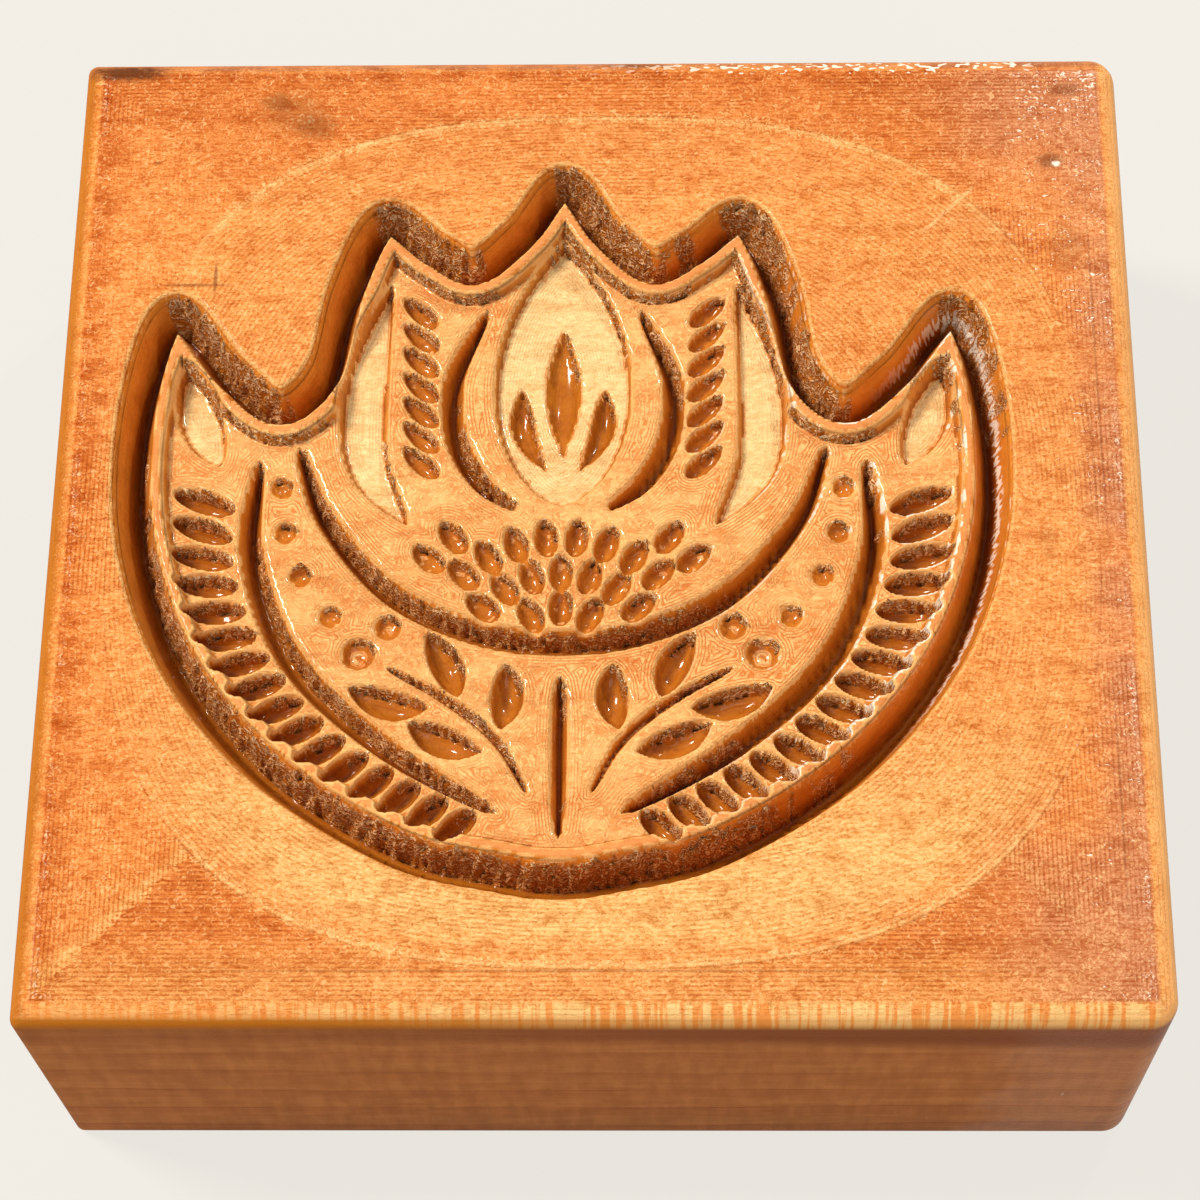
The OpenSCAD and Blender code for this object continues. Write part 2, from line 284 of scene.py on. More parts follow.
@dataclass(frozen=True)
class Net:
    """Squares of four sizes over a sheet, small where its surface bends and large where it is flat.

    Attributes:
        shape: Rows and columns of the sheet's points.
        split: For each level above the smallest, whether each of its squares is cut in four.
    """

    shape: tuple[int, int]
    split: tuple[np.ndarray, ...]

    @classmethod
    def fitted(cls, height: np.ndarray, coarsest: np.ndarray, tolerance: float) -> Net:
        """A net whose squares follow a height field.

        Formula: a square of a level may stand where the second difference of the height over half its width is
        less than twice the tolerance. A square beside one that is cut in four twice over is cut as well, so
        that neighbours differ by one level at most.

        Args:
            height: Height at each point of the sheet.
            coarsest: The highest level that each of the smallest squares may be part of.
            tolerance: Greatest gap between the net and the surface.

        Returns:
            The net.
        """
        split = []
        for level in range(1, LEVELS + 1):
            reach = 2 ** (level - 1)
            bend = np.zeros(height.shape)
            bend[reach:-reach] = np.abs(height[2 * reach:] - 2 * height[reach:-reach] + height[:-2 * reach])
            across = np.abs(height[:, 2 * reach:] - 2 * height[:, reach:-reach] + height[:, :-2 * reach])
            bend[:, reach:-reach] = np.maximum(bend[:, reach:-reach], across)
            rough = (bend > 2 * tolerance)
            cell = rough[:-1, :-1] | rough[1:, :-1] | rough[:-1, 1:] | rough[1:, 1:] | (coarsest < level)
            size = 2 * reach
            blocks = cell.reshape(cell.shape[0] // size, size, cell.shape[1] // size, size).any(axis=(1, 3))
            if split:
                spread = np.pad(split[-1], 1)
                near = sum(spread[i:i + split[-1].shape[0], j:j + split[-1].shape[1]]
                           for i in range(3) for j in range(3)) > 0
                blocks |= near.reshape(blocks.shape[0], 2, blocks.shape[1], 2).any(axis=(1, 3))
            split.append(blocks)
        return cls(height.shape, tuple(split))

    def faces(self) -> list[np.ndarray]:
        """The net's faces as rows of point numbers, in arrays of four to eight corners.

        Formula: a square has its four corners, and the middle of each side beyond which the squares are half
        its size.
        """
        number = np.arange(self.shape[0] * self.shape[1]).reshape(self.shape)
        found: dict[int, list[np.ndarray]] = {}
        for level in range(LEVELS + 1):
            size = 2**level
            rows, columns = (self.shape[0] - 1) // size, (self.shape[1] - 1) // size
            there = np.ones((rows, columns), dtype=bool)
            if level < LEVELS:
                there = self.split[level].repeat(2, axis=0).repeat(2, axis=1)
            cut = np.zeros((rows, columns), dtype=bool) if level == 0 else self.split[level - 1]
            there = there & ~cut
            beside = np.pad(cut, 1)
            halved = (beside[:-2, 1:-1], beside[1:-1, 2:], beside[2:, 1:-1], beside[1:-1, :-2])
            i, j = (grid * size for grid in np.indices((rows, columns)))
            half = size // 2
            loop = ((i, j, None), (i, j + half, halved[0]), (i, j + size, None), (i + half, j + size, halved[1]),
                    (i + size, j + size, None), (i + size, j + half, halved[2]), (i + size, j, None),
                    (i + half, j, halved[3]))
            kind = sum(side.astype(int) << k for k, side in enumerate(halved))
            for mix in range(16):
                chosen = there & (kind == mix)
                corners = [number[row[chosen], column[chosen]] for k, (row, column, side) in enumerate(loop)
                           if side is None or mix >> (k // 2) & 1]
                found.setdefault(len(corners), []).append(np.stack(corners, axis=-1))
        return [np.vstack(parts) for parts in found.values()]


@dataclass(frozen=True)
class Cut:
    """One stroke of the carver's cutter.

    Attributes:
        line: Points that its middle line passes through.
        half_width: Half width at its widest.
        mouth: Depth of the surface that it is cut from.
        depth: Depth below that surface.
        lean: Where along it the widest place comes: 1 is the middle, more is later.
        fullness: How blunt its ends are: 0 is square and 1 a pointed leaf.
        section: Its cross-section.
    """

    line: tuple[Point, ...]
    half_width: float
    mouth: float
    depth: float
    lean: float = 1.0
    fullness: float = 0.35
    section: Section = Section.SLOPED

    def widths(self, count: int) -> np.ndarray:
        """Half width at each of count places: the sine of half a turn of the lean power of the way along."""
        if self.section is Section.ROUND:
            return np.full(count, self.half_width)
        way = np.linspace(0.0, 1.0, count)
        share = np.sin(math.pi * way**self.lean).clip(0.0) ** self.fullness
        return self.half_width * np.maximum(share, 0.05)


@dataclass(frozen=True)
class Flower:
    """The sunk flower, drawn about its own middle, and the way that its cutter works."""

    rise: float = 3.6
    floor_blend: float = 1.1
    lip_blend: float = 0.22
    reach: float = 30.0
    border_depth: float = 5.4
    border_floor: float = 0.2
    border_front: float = 0.6
    lip_width: float = 0.6
    lip_depth: float = 0.8
    ground_depth: float = 2.2
    vein_depth: float = 2.9
    vein_width: float = 1.2
    petal_depth: float = 1.2
    drop_depth: float = 1.5
    scale_depth: float = 1.6
    scale_width: float = 1.06
    scale_length: float = 2.8
    lobe_depth: float = 2.3
    lobe_width: float = 1.1
    lobe_count: int = 16
    barb_count: int = 7
    sprig_depth: float = 2.2
    leaf_width: float = 1.4
    berry_radius: float = 1.4
    bead_radius: float = 0.95
    border_half: tuple[Point, ...] = (
        (0, 32.2), (3.6, 27.4), (7.6, 23.8), (11.2, 25.6), (15.6, 28.6), (18.6, 22), (20.3, 13.8), (24, 10.2),
        (28.6, 13.8), (33.6, 19.4), (36, 10.5), (35.6, -1.5), (31.6, -12.8), (23.6, -22.6), (13, -29.4),
        (4.6, -31.6), (0, -32.2))
    cup_half: tuple[Point, ...] = ((0, -10.8), (7, -9.8), (14.2, -6.2), (19.9, 0.6), (22.4, 7.2))
    petal_vein: tuple[Point, ...] = ((6.6, 20.4), (9.3, 14), (9.1, 8.4), (7, 4.2), (3.9, 1.5))
    leaf_vein: tuple[Point, ...] = ((25.7, 6), (26, -2.5), (22.4, -12), (14.8, -19.6), (5, -25.8))
    stem: tuple[Point, ...] = ((0, -13.8), (0, -20), (0, -28))
    lobe_line: tuple[Point, ...] = ((30.3, 3), (29.9, -4.4), (26.5, -12.6), (18.9, -20.9), (7.6, -27.3))
    bead_line: tuple[Point, ...] = ((23.7, 3.4), (22.6, -3.2), (18.6, -9.2))
    twig: tuple[Point, ...] = ((2.5, -24.2), (5.2, -19.4), (9.4, -15.8), (14.4, -13))

    @property
    def mouth_width(self) -> float:
        """Half width of the border groove at its mouth."""
        return self.border_floor + self.border_depth / self.rise

    def ring(self, steps: int = 12) -> np.ndarray:
        """Middle line of the border groove, all the way round."""
        back = [p for p in reversed(mirrored(self.border_half)) if p[0] < 0]
        return smooth_path([*self.border_half, *back], steps, closed=True)

    def veins(self) -> list[Cut]:
        """The cup, the stem, the middle petal's two edges and the ribs of the two leaves."""
        ground, deep, wide = self.ground_depth, self.vein_depth, self.vein_width
        cup = (*reversed(mirrored(self.cup_half[1:])), *self.cup_half)
        cuts = [Cut(cup, wide, ground, deep, fullness=0.25),
                Cut(self.stem, wide * 0.68, ground, deep * 0.68)]
        for turn in (tuple, mirrored):
            cuts.append(Cut(tuple(turn(self.petal_vein)), wide * 0.9, ground, deep * 0.9))
            cuts.append(Cut(tuple(turn(self.leaf_vein)), wide, ground, deep, fullness=0.3))
        return cuts

    def petals(self) -> list[Cut]:
        """The sunk petals and leaf tips, with the drops in the middle petal."""
        ground, low = self.ground_depth, self.ground_depth + self.petal_depth
        cuts = [Cut(((0, 2.4), (0, 14), (0, 27)), 6.0, ground, self.petal_depth, 0.87, 0.85),
                Cut(((0, 7), (0, 12), (0, 18.8)), 1.5, low, self.drop_depth, 1.3, 0.8, Section.HOLLOW)]
        for turn in (tuple, mirrored):
            side = tuple(turn(((13, 0), (16.6, 6), (16.8, 14), (15, 23))))
            tip = tuple(turn(((29, 5.6), (30.9, 9.6), (32.4, 14.8))))
            drop = tuple(turn(((1.5, 5.6), (3.3, 9.2), (3.6, 13.2))))
            cuts.append(Cut(side, 2.1, ground, self.petal_depth, 1.0, 0.7))
            cuts.append(Cut(tip, 1.9, ground, self.petal_depth, 1.05, 0.75))
            cuts.append(Cut(drop, 1.05, low, self.drop_depth, 1.2, 0.8, Section.HOLLOW))
        return cuts

    def mark(self, start: np.ndarray, end: np.ndarray, width: float, depth: float, lean: float) -> Cut:
        """A short hollow from one point to another."""
        line = (tuple(start), tuple((start + end) / 2), tuple(end))
        return Cut(line, width, self.ground_depth, depth, lean, 0.52, Section.HOLLOW)

    def scales(self) -> list[Cut]:
        """Rows of scales that fan out from below the cup."""
        centre = np.array([0.0, -12.6])
        rows = ((3.7, 3, 30.0, 0.0), (6.9, 7, 17.4, 0.0), (10.1, 8, 13.0, 0.0), (13.3, 10, 11.0, 30.0))
        cuts = []
        for radius, count, gap, left_free in rows:
            for turn in (np.arange(count) - (count - 1) / 2) * gap:
                if abs(turn) >= left_free:
                    aim = np.array([math.sin(math.radians(turn)), math.cos(math.radians(turn))])
                    cuts.append(self.mark(centre + aim * radius, centre + aim * (radius + self.scale_length),
                                          self.scale_width, self.scale_depth, 0.8))
        return cuts

    def barbs(self) -> list[Cut]:
        """Barbs beside the middle petal, all at one slant."""
        cuts = []
        for side in (1, -1):
            for k in range(self.barb_count):
                foot = np.array([10.7 + 0.07 * k, 4.6 + 2.42 * k])
                tip = foot + np.array([2.7, 2.5])
                cuts.append(self.mark(foot * [side, 1], tip * [side, 1], 0.92, self.scale_depth, 0.8))
        return cuts

    def lobes(self) -> list[Cut]:
        """Lobes that stand across a line between each leaf's rib and the border."""
        line = smooth_path(self.lobe_line, 12)
        run = np.concatenate([[0.0], np.cumsum(np.hypot(*np.diff(line, axis=0).T))])
        lean = math.radians(20)
        cuts = []
        for k in range(self.lobe_count):
            share = (k + 0.3) / (self.lobe_count - 0.4)
            here, ahead = (np.array([np.interp(share * run[-1] + d, run, line[:, axis]) for axis in (0, 1)])
                           for d in (0.0, 0.3))
            along = (ahead - here) / np.hypot(*(ahead - here))
            across = np.array([-along[1], along[0]])
            reach = (math.cos(lean) * across - math.sin(lean) * along) * (2.65 - 0.85 * share)
            for side in (1, -1):
                cuts.append(self.mark((here - reach) * [side, 1], (here + reach) * [side, 1],
                                      self.lobe_width, self.lobe_depth, 0.9))
        return cuts

    def bead(self, x: float, y: float, radius: float) -> Cut:
        """A round hollow as deep as its radius."""
        return Cut(((x - 0.02, y), (x + 0.02, y)), radius, self.ground_depth, radius, 1.0, 0.01, Section.ROUND)

    def sprigs(self) -> list[Cut]:
        """A sprig on each side of the stem, with its leaves and berries, and a row of beads above it."""
        leaves = (((4.9, -18.4), (4.3, -15.7), (4.4, -12.8)), ((8.3, -15.6), (9.3, -12.9), (11, -10)),
                  ((6.3, -20.4), (9.5, -19.6), (12.4, -17.9)), ((10.8, -16.6), (14.1, -16.3), (17.4, -14.8)))
        beads = smooth_path(self.bead_line, 8)[::5][:4]
        cuts = []
        for turn in (tuple, mirrored):
            cuts.append(Cut(tuple(turn(self.twig)), 0.5, self.ground_depth, self.sprig_depth * 0.6))
            cuts += [Cut(tuple(turn(leaf)), self.leaf_width, self.ground_depth, self.sprig_depth, 1.05, 0.8,
                         Section.HOLLOW) for leaf in leaves]
            cuts += [self.bead(x, y, self.berry_radius * size)
                     for (x, y), size in zip(turn(((16.7, -11.8), (14.3, -9.4))), (1.0, 0.8))]
            cuts += [self.bead(x, y, self.bead_radius) for x, y in turn([tuple(p) for p in beads])]
        return cuts

    def border(self, sheet: Sheet) -> tuple[np.ndarray, np.ndarray, np.ndarray]:
        """Depth of the border groove, the lip inside it and the ground inside the lip.

        Formula: with d the distance outwards from the middle line, the outer wall is the mouth's half width
        less d, times the rise. Inwards from the floor's edge, the inner wall gets shallower by the same rise
        until it meets the lip, and the lip falls off to the ground. The front of the inner wall is set back.

        Args:
            sheet: The sheet, in the flower's own axes.

        Returns:
            Depth at each point of the sheet, how far the point is from the groove or its lip, and how far
            outwards it is from the foot of the groove's outer wall.
        """
        away = sheet.signed(self.ring(), self.reach)
        rows = self.border_front / sheet.step
        whole, part = int(rows), rows - int(rows)
        back = (1 - part) * np.roll(away, whole, axis=0) + part * np.roll(away, whole + 1, axis=0)
        outer = soft_min((self.mouth_width - away) * self.rise, self.border_depth, self.floor_blend)
        inwards = -np.maximum(away, back) - self.border_floor
        lean = self.border_depth / self.rise
        fall = self.lip_depth + (inwards - lean - self.lip_width) * self.rise
        table = soft_min(soft_max(fall, self.lip_depth, 0.3), self.ground_depth, 0.4)
        inner = soft_max(self.border_depth - inwards * self.rise, table, self.lip_blend)
        inner = soft_min(inner, self.border_depth, self.floor_blend)
        trench = np.where(inwards > 0, np.minimum(inner, outer), outer)
        clear = np.where(away > 0, away - self.mouth_width, inwards - lean - self.lip_width)
        return soft_max(trench, np.zeros(sheet.shape), self.lip_blend), clear, away - self.border_floor

    def add(self, depth: np.ndarray, clear: np.ndarray, sheet: Sheet, cut: Cut) -> None:
        """Sinks one cut into the field.

        Formula: with s the distance inside the cut's edge and e the distance from its middle over its half
        width there, a sloped cut is s times the rise down to its floor, a hollow is 1 less 0.35 e less 0.65 of
        the seventh power of e, and a ball's hollow is the root of 1 less e squared.

        Args:
            depth: The field, changed in place.
            clear: How far each point is outside the nearest cut's edge, changed in place.
            sheet: The sheet, in the flower's own axes.
            cut: The cut to sink.
        """
        path = smooth_path(cut.line, 10) if len(cut.line) > 2 else np.array(cut.line, dtype=float)
        widths = cut.widths(len(path))
        window, away, wide = sheet.nearest(path, widths, cut.half_width + 3.0)
        wide = np.maximum(wide, 1e-3)
        clear[window] = np.minimum(clear[window], away - wide)
        share = away / wide
        local = cut.depth * (wide / cut.half_width) ** 0.6
        beyond = np.maximum(share - 1.0, 0.0) * 4.9
        if cut.section is Section.SLOPED:
            profile = soft_min((wide - away) * self.rise, cut.depth, min(self.floor_blend, cut.depth * 0.5))
        elif cut.section is Section.HOLLOW:
            inner = np.minimum(share, 1.0)
            profile = local * (1.0 - 0.35 * inner - 0.65 * inner**7 - beyond)
        else:
            profile = local * (np.sqrt(np.maximum(1.0 - share * share, 0.0)) - beyond)
        depth[window] = soft_max(depth[window], cut.mouth + profile, self.lip_blend)

    def depth(self, sheet: Sheet) -> tuple[np.ndarray, np.ndarray, np.ndarray]:
        """Depth of the whole carving, and the distances from the nearest cut's edge and from the border's foot.

        Args:
            sheet: The sheet, in the flower's own axes.

        Returns:
            The three fields over the sheet.
        """
        depth, clear, foot = self.border(sheet)
        for cut in [*self.veins(), *self.petals(), *self.scales(), *self.barbs(), *self.lobes(), *self.sprigs()]:
            self.add(depth, clear, sheet, cut)
        return depth, clear, foot


@dataclass
class Block:
    """The block of wood, with the flower sunk into its top face.

    Attributes:
        width: Size along the grain.
        depth: Size across the grain.
        height: Thickness.
        top_round: Rounding of the top edges.
        base_round: Rounding of the bottom edges.
        left_round: Rounding of the upright edges on the left.
        right_round: Rounding of the upright edges on the right.
        margin_left: Land left of the carving.
        margin_right: Land right of the carving.
        margin_front: Least land in front of the carving.
        step: Width of the net's smallest squares.
        tolerance: Greatest gap between the net and the surface.
        triangles: Most triangles that the net has. Where it would have more, the tolerance is raised.
        flower: The carving.
    """

    width: float
    depth: float
    height: float
    top_round: float = 1.9
    base_round: float = 0.9
    left_round: float = 0.8
    right_round: float = 2.3
    margin_left: float = 4.9
    margin_right: float = 10.6
    margin_front: float = 9.9
    step: float = 0.15
    tolerance: float = 0.008
    triangles: int = 160_000
    flower: Flower = field(default_factory=Flower)

    def place(self) -> tuple[float, float, float]:
        """Scale of the flower and the place of its middle, from the land that is left round it."""
        ring = self.flower.ring()
        mouth = self.flower.mouth_width
        half = ring[:, 0].max() + mouth
        scale = (self.width - self.margin_left - self.margin_right) / (2 * half)
        x = -self.width / 2 + self.margin_left + half * scale
        y = -self.depth / 2 + self.margin_front + (mouth - ring[:, 1].min()) * scale
        return scale, x, y

    def face(self, sheet: Sheet) -> tuple[np.ndarray, dict[str, np.ndarray]]:
        """Height of the top face over the sheet, and the fields that guide its finish.

        Formula: the height is the thickness less the carving's depth, and the walls that face the front are
        roughened, because the cutter tore the fibres there. The cutter's passes follow the nearer of the
        block's edge and the carving's outline.

        Args:
            sheet: The sheet, in the block's axes.

        Returns:
            Height at each point, and the guides by name: passes, the distance that the cutter's passes are
            counted along; torn, how torn the fibres are; rim, how near a cut's upper edge is; crease, how near
            the foot of a wall is; wall, how far outwards the foot of the border's outer wall is; floor, 1 on the
            ground and 2 on the petals.
        """
        scale, x, y = self.place()
        own = Sheet((sheet.x - x) / scale, (sheet.y - y) / scale)
        depth, clear, foot = self.flower.depth(own)
        slope_y, slope_x = np.gradient(depth, sheet.y, sheet.x)
        steep = np.hypot(slope_x, slope_y)
        facing = (-slope_y - 0.45 * slope_x) / np.maximum(steep, 1e-3)
        lift = blurred(depth, 0.3 / sheet.step) - depth
        thin = blurred(depth, 0.2 / sheet.step) - depth
        patchy = 0.16 * sheet.noise(2.0, 1.4, 11) + 0.14 * sheet.noise(0.7, 0.6, 12)
        torn = ease(0.46, 0.72, facing + patchy) * ease(0.9, 1.8, steep)
        torn *= ease(0.24, 0.0, lift + 0.1 * sheet.noise(0.3, 1.2, 13) + 0.06 * sheet.noise(1.4, 1.4, 14))
        tear = 0.5 * sheet.noise(0.8, 0.5, 5) + 0.6 * sheet.noise(0.35, 0.3, 6)
        level = np.abs(depth - self.flower.ground_depth) < 0.15
        low = np.abs(depth - self.flower.ground_depth - self.flower.petal_depth) < 0.15
        floor = blurred(np.where(steep < 0.6, level + 2.0 * low, 0.0), 0.08 / sheet.step)
        depth = np.maximum(depth + 1.6 * torn * np.minimum(depth, 1.0) * tear, 0.0)
        return self.height - depth, {"passes": clear * scale, "torn": torn, "rim": ease(0.05, 0.2, thin),
                                     "crease": ease(0.04, 0.4, -lift), "wall": np.clip(foot * scale, -3.0, 3.0),
                                     "floor": floor}

    def coarsest(self, sheet: Sheet, guides: dict[str, np.ndarray]) -> np.ndarray:
        """Highest level of the net's squares: one less at the corners, so that their arcs are round."""
        near_x, near_y = (half_width(line, 2 * line[-1]) for line in (sheet.x, sheet.y))
        corner = (near_x[None, :-1] < 3.0) & (near_y[:-1, None] < 3.0)
        return np.where(corner, 0, LEVELS - 1)

    def rings(self, edge: np.ndarray, half_x: float, half_y: float) -> np.ndarray:
        """Edges, sides and underside, as rings of points carried round from the edge of the top face.

        Formula: a ring is the edge's rectangle grown outwards, with each corner of it swept round an arc. The
        profile turns down a quarter circle at the top, drops, turns in at the bottom and closes on the middle.

        Args:
            edge: Points of the top face's edge, in order.
            half_x: Half the width of the top face's flat.
            half_y: Half its depth.

        Returns:
            Points, one ring for each row.
        """
        turn = np.radians(np.linspace(0, 90, 9))
        drop = np.linspace(self.height - self.top_round, self.base_round, 6)[1:-1]
        out = np.concatenate([self.top_round * np.sin(turn[1:]), np.full(4, self.top_round),
                              self.top_round - self.base_round * (1 - np.cos(turn))])
        z = np.concatenate([self.height - self.top_round * (1 - np.cos(turn[1:])), drop,
                            self.base_round * (1 - np.sin(turn))])
        shrink = np.concatenate([np.ones(len(out)), [0.6, 0.2]])[:, None]
        out, z = np.append(out, np.full(2, out[-1])), np.append(z, np.zeros(2))
        corner = np.where(edge[:, 0] > 0, self.right_round, self.left_round)
        radius = np.maximum(corner[None, :] * np.minimum(out / self.top_round, 1.0)[:, None], 1e-3)
        size_x, size_y = half_x + out[:, None], half_y + out[:, None]
        x, y = edge[None, :, 0] * size_x / half_x, edge[None, :, 1] * size_y / half_y
        centre_x, centre_y = np.sign(x) * (size_x - radius), np.sign(y) * (size_y - radius)
        across, up = x - centre_x, y - centre_y
        in_corner = (np.abs(x) > size_x - radius) & (np.abs(y) > size_y - radius)
        fit = np.where(in_corner, radius / np.maximum(np.hypot(across, up), 1e-9), 1.0)
        x, y = (centre_x + across * fit) * shrink, (centre_y + up * fit) * shrink
        return np.stack([x, y, np.broadcast_to(z[:, None], x.shape)], axis=-1)

    def build(self) -> bpy.types.Object:
        """The block as one closed piece: the net over its top face, and the rings round the net's edge.

        Returns:
            The block's object, smooth shaded, with the finish's guides in its attributes.
        """
        half_x, half_y = self.width / 2 - self.top_round, self.depth / 2 - self.top_round
        sheet = Sheet.over(half_x, half_y, self.step)
        height, guides = self.face(sheet)
        tolerance = self.tolerance
        faces = Net.fitted(height, self.coarsest(sheet, guides), tolerance).faces()
        while sum(len(part) * (part.shape[1] - 2) for part in faces) > self.triangles:
            tolerance *= 1.2
            faces = Net.fitted(height, self.coarsest(sheet, guides), tolerance).faces()
        number = np.arange(height.size).reshape(height.shape)
        used = np.zeros(height.size, dtype=bool)
        for part in faces:
            used[part] = True
        edge = np.concatenate([number[0, :-1], number[:-1, -1], number[-1, :0:-1], number[:0:-1, 0]])
        edge = edge[used[edge]]
        x, y = np.meshgrid(sheet.x, sheet.y)
        top = np.stack([x, y, height], axis=-1).reshape(-1, 3)
        rings = self.rings(top[edge], half_x, half_y)
        fresh = np.cumsum(used) - 1
        count = int(used.sum())
        loops = np.vstack([fresh[edge], count + np.arange(rings.shape[0] * len(edge)).reshape(-1, len(edge))])
        ahead = np.roll(loops, -1, axis=1)
        sides = np.stack([loops[:-1], loops[1:], ahead[1:], ahead[:-1]], axis=-1).reshape(-1, 4)
        points = np.vstack([top[used], rings.reshape(-1, 3), [[0.0, 0.0, 0.0]]])
        foot = np.stack([loops[-1], np.full(len(edge), len(points) - 1), ahead[-1]], axis=-1)
        mesh = raw_mesh("carved_block", points * MM, [*(fresh[part] for part in faces), sides, foot])
        for name, values in guides.items():
            layer = mesh.attributes.new(name, "FLOAT", "POINT")
            whole = np.full(len(points), 0.0)
            whole[:count] = values.ravel()[used]
            layer.data.foreach_set("value", whole.astype(np.float32))
        mesh.shade_smooth()
        piece = bpy.data.objects.new("carved_block", mesh)
        bpy.context.scene.collection.objects.link(piece)
        log.info("block: %d points, %d faces, tolerance %.4f mm", len(points), len(mesh.polygons), tolerance)
        return piece


def raw_mesh(name: str, points: np.ndarray, faces: list[np.ndarray]) -> bpy.types.Mesh:
    """A mesh from arrays.

    Args:
        name: The mesh's name.
        points: Places of its points, in metres.
        faces: Arrays of faces, each with the same number of corners in every row.

    Returns:
        The mesh.
    """
    mesh = bpy.data.meshes.new(name)
    corners = np.concatenate([part.ravel() for part in faces]).astype(np.int32)
    sizes = np.concatenate([np.full(len(part), part.shape[1]) for part in faces])
    starts = np.concatenate([[0], np.cumsum(sizes)[:-1]]).astype(np.int32)
    mesh.vertices.add(len(points))
    mesh.vertices.foreach_set("co", points.astype(np.float32).ravel())
    mesh.loops.add(len(corners))
    mesh.loops.foreach_set("vertex_index", corners)
    mesh.polygons.add(len(sizes))
    mesh.polygons.foreach_set("loop_start", starts)
    mesh.update(calc_edges=True)
    mesh.validate()
    return mesh


def linear(colour: str) -> tuple[float, float, float, float]:
    """A colour written as six hexadecimal digits, as the linear values that shaders take."""
    parts = [int(colour[k:k + 2], 16) / 255 for k in (0, 2, 4)]
    return (*(p / 12.92 if p <= 0.04045 else ((p + 0.055) / 1.055) ** 2.4 for p in parts), 1.0)


class Nodes:
    """Short ways to place and join the nodes of one tree."""

    def __init__(self, tree: bpy.types.NodeTree) -> None:
        """Starts on an empty tree."""
        self.tree = tree
        tree.nodes.clear()

    def add(self, kind: str, **settings: object) -> bpy.types.Node:
        """Places a node and sets its properties."""
        node = self.tree.nodes.new(kind)
        for name, value in settings.items():
            setattr(node, name, value)
        return node

    def feed(self, socket: Socket, value: object) -> None:
        """Joins a socket to another, or sets it to a plain value."""
        if isinstance(value, bpy.types.NodeSocket):
            self.tree.links.new(value, socket)
        elif value is not None:
            socket.default_value = value

    def math(self, operation: str, a: object, b: object = None, c: object = None, clamp: bool = False) -> Socket:
        """A Math node's result."""
        node = self.add("ShaderNodeMath", operation=operation, use_clamp=clamp)
        for socket, value in zip(node.inputs, (a, b, c)):
            self.feed(socket, value)
        return node.outputs[0]

    def vector(self, operation: str, a: object, b: object = None) -> Socket:
        """A Vector Math node's vector."""
        node = self.add("ShaderNodeVectorMath", operation=operation)
        self.feed(node.inputs[0], a)
        self.feed(node.inputs[1], b)
        return node.outputs[0]

    def split(self, vector: Socket) -> tuple[Socket, Socket, Socket]:
        """The three parts of a vector."""
        node = self.add("ShaderNodeSeparateXYZ")
        self.feed(node.inputs[0], vector)
        return tuple(node.outputs)

    def span(self, value: object, low: float, high: float, to_low: float = 0.0, to_high: float = 1.0) -> Socket:
        """A value's smooth step from one span to another."""
        node = self.add("ShaderNodeMapRange", interpolation_type="SMOOTHSTEP")
        for socket, part in zip(node.inputs, (value, low, high, to_low, to_high)):
            self.feed(socket, part)
        return node.outputs[0]

    def blend(self, share: object, a: object, b: object, kind: str = "MIX") -> Socket:
        """Two colours mixed by a share."""
        node = self.add("ShaderNodeMix", data_type="RGBA", blend_type=kind, clamp_factor=True)
        for socket, value in zip((node.inputs[0], node.inputs[6], node.inputs[7]), (share, a, b)):
            self.feed(socket, value)
        return node.outputs[2]

    def product(self, *masks: object) -> Socket:
        """Masks multiplied together."""
        whole = masks[0]
        for mask in masks[1:]:
            whole = self.math("MULTIPLY", whole, mask)
        return whole

    def noise(self, place: Socket, stretch: tuple[float, float, float], detail: float = 2.0,
              roughness: float = 0.5, shift: float = 0.0, twist: float = 0.0) -> Socket:
        """Noise between 0 and 1.

        Args:
            place: Where the noise is read, in millimetres.
            stretch: Cells for each millimetre along each axis.
            detail: Finer layers added to the first.
            roughness: How strong each finer layer is.
            shift: Moves the noise, so that two noises differ.
            twist: How far the cells are curled.

        Returns:
            The noise.
        """
        mapping = self.add("ShaderNodeMapping", vector_type="POINT")
        self.feed(mapping.inputs["Vector"], place)
        mapping.inputs["Scale"].default_value = stretch
        mapping.inputs["Location"].default_value = (shift, shift * 1.7, shift * 0.6)
        node = self.add("ShaderNodeTexNoise", noise_dimensions="3D")
        self.feed(node.inputs["Vector"], mapping.outputs[0])
        for name, value in (("Scale", 1.0), ("Detail", detail), ("Roughness", roughness), ("Distortion", twist)):
            node.inputs[name].default_value = value
        return node.outputs["Fac"]

    def spot(self, place: Socket, x: float, y: float, half_x: float, half_y: float, ragged: Socket) -> Socket:
        """A mask of a ragged oval on the top face: 1 at its middle and 0 outside.

        Args:
            place: Where the mask is read, in millimetres.
            x: The middle.
            y: The middle.
            half_x: Half its width.
            half_y: Half its depth.
            ragged: Noise that breaks its edge.

        Returns:
            The mask.
        """
        near = self.add("ShaderNodeMapping", vector_type="TEXTURE")
        self.feed(near.inputs["Vector"], place)
        near.inputs["Location"].default_value = (x, y, 0.0)
        near.inputs["Scale"].default_value = (half_x, half_y, 1e3)
        away = self.add("ShaderNodeVectorMath", operation="LENGTH")
        self.feed(away.inputs[0], near.outputs[0])
        return self.span(self.math("ADD", away.outputs["Value"], self.math("MULTIPLY", ragged, 1.2)), 1.6, 0.9)


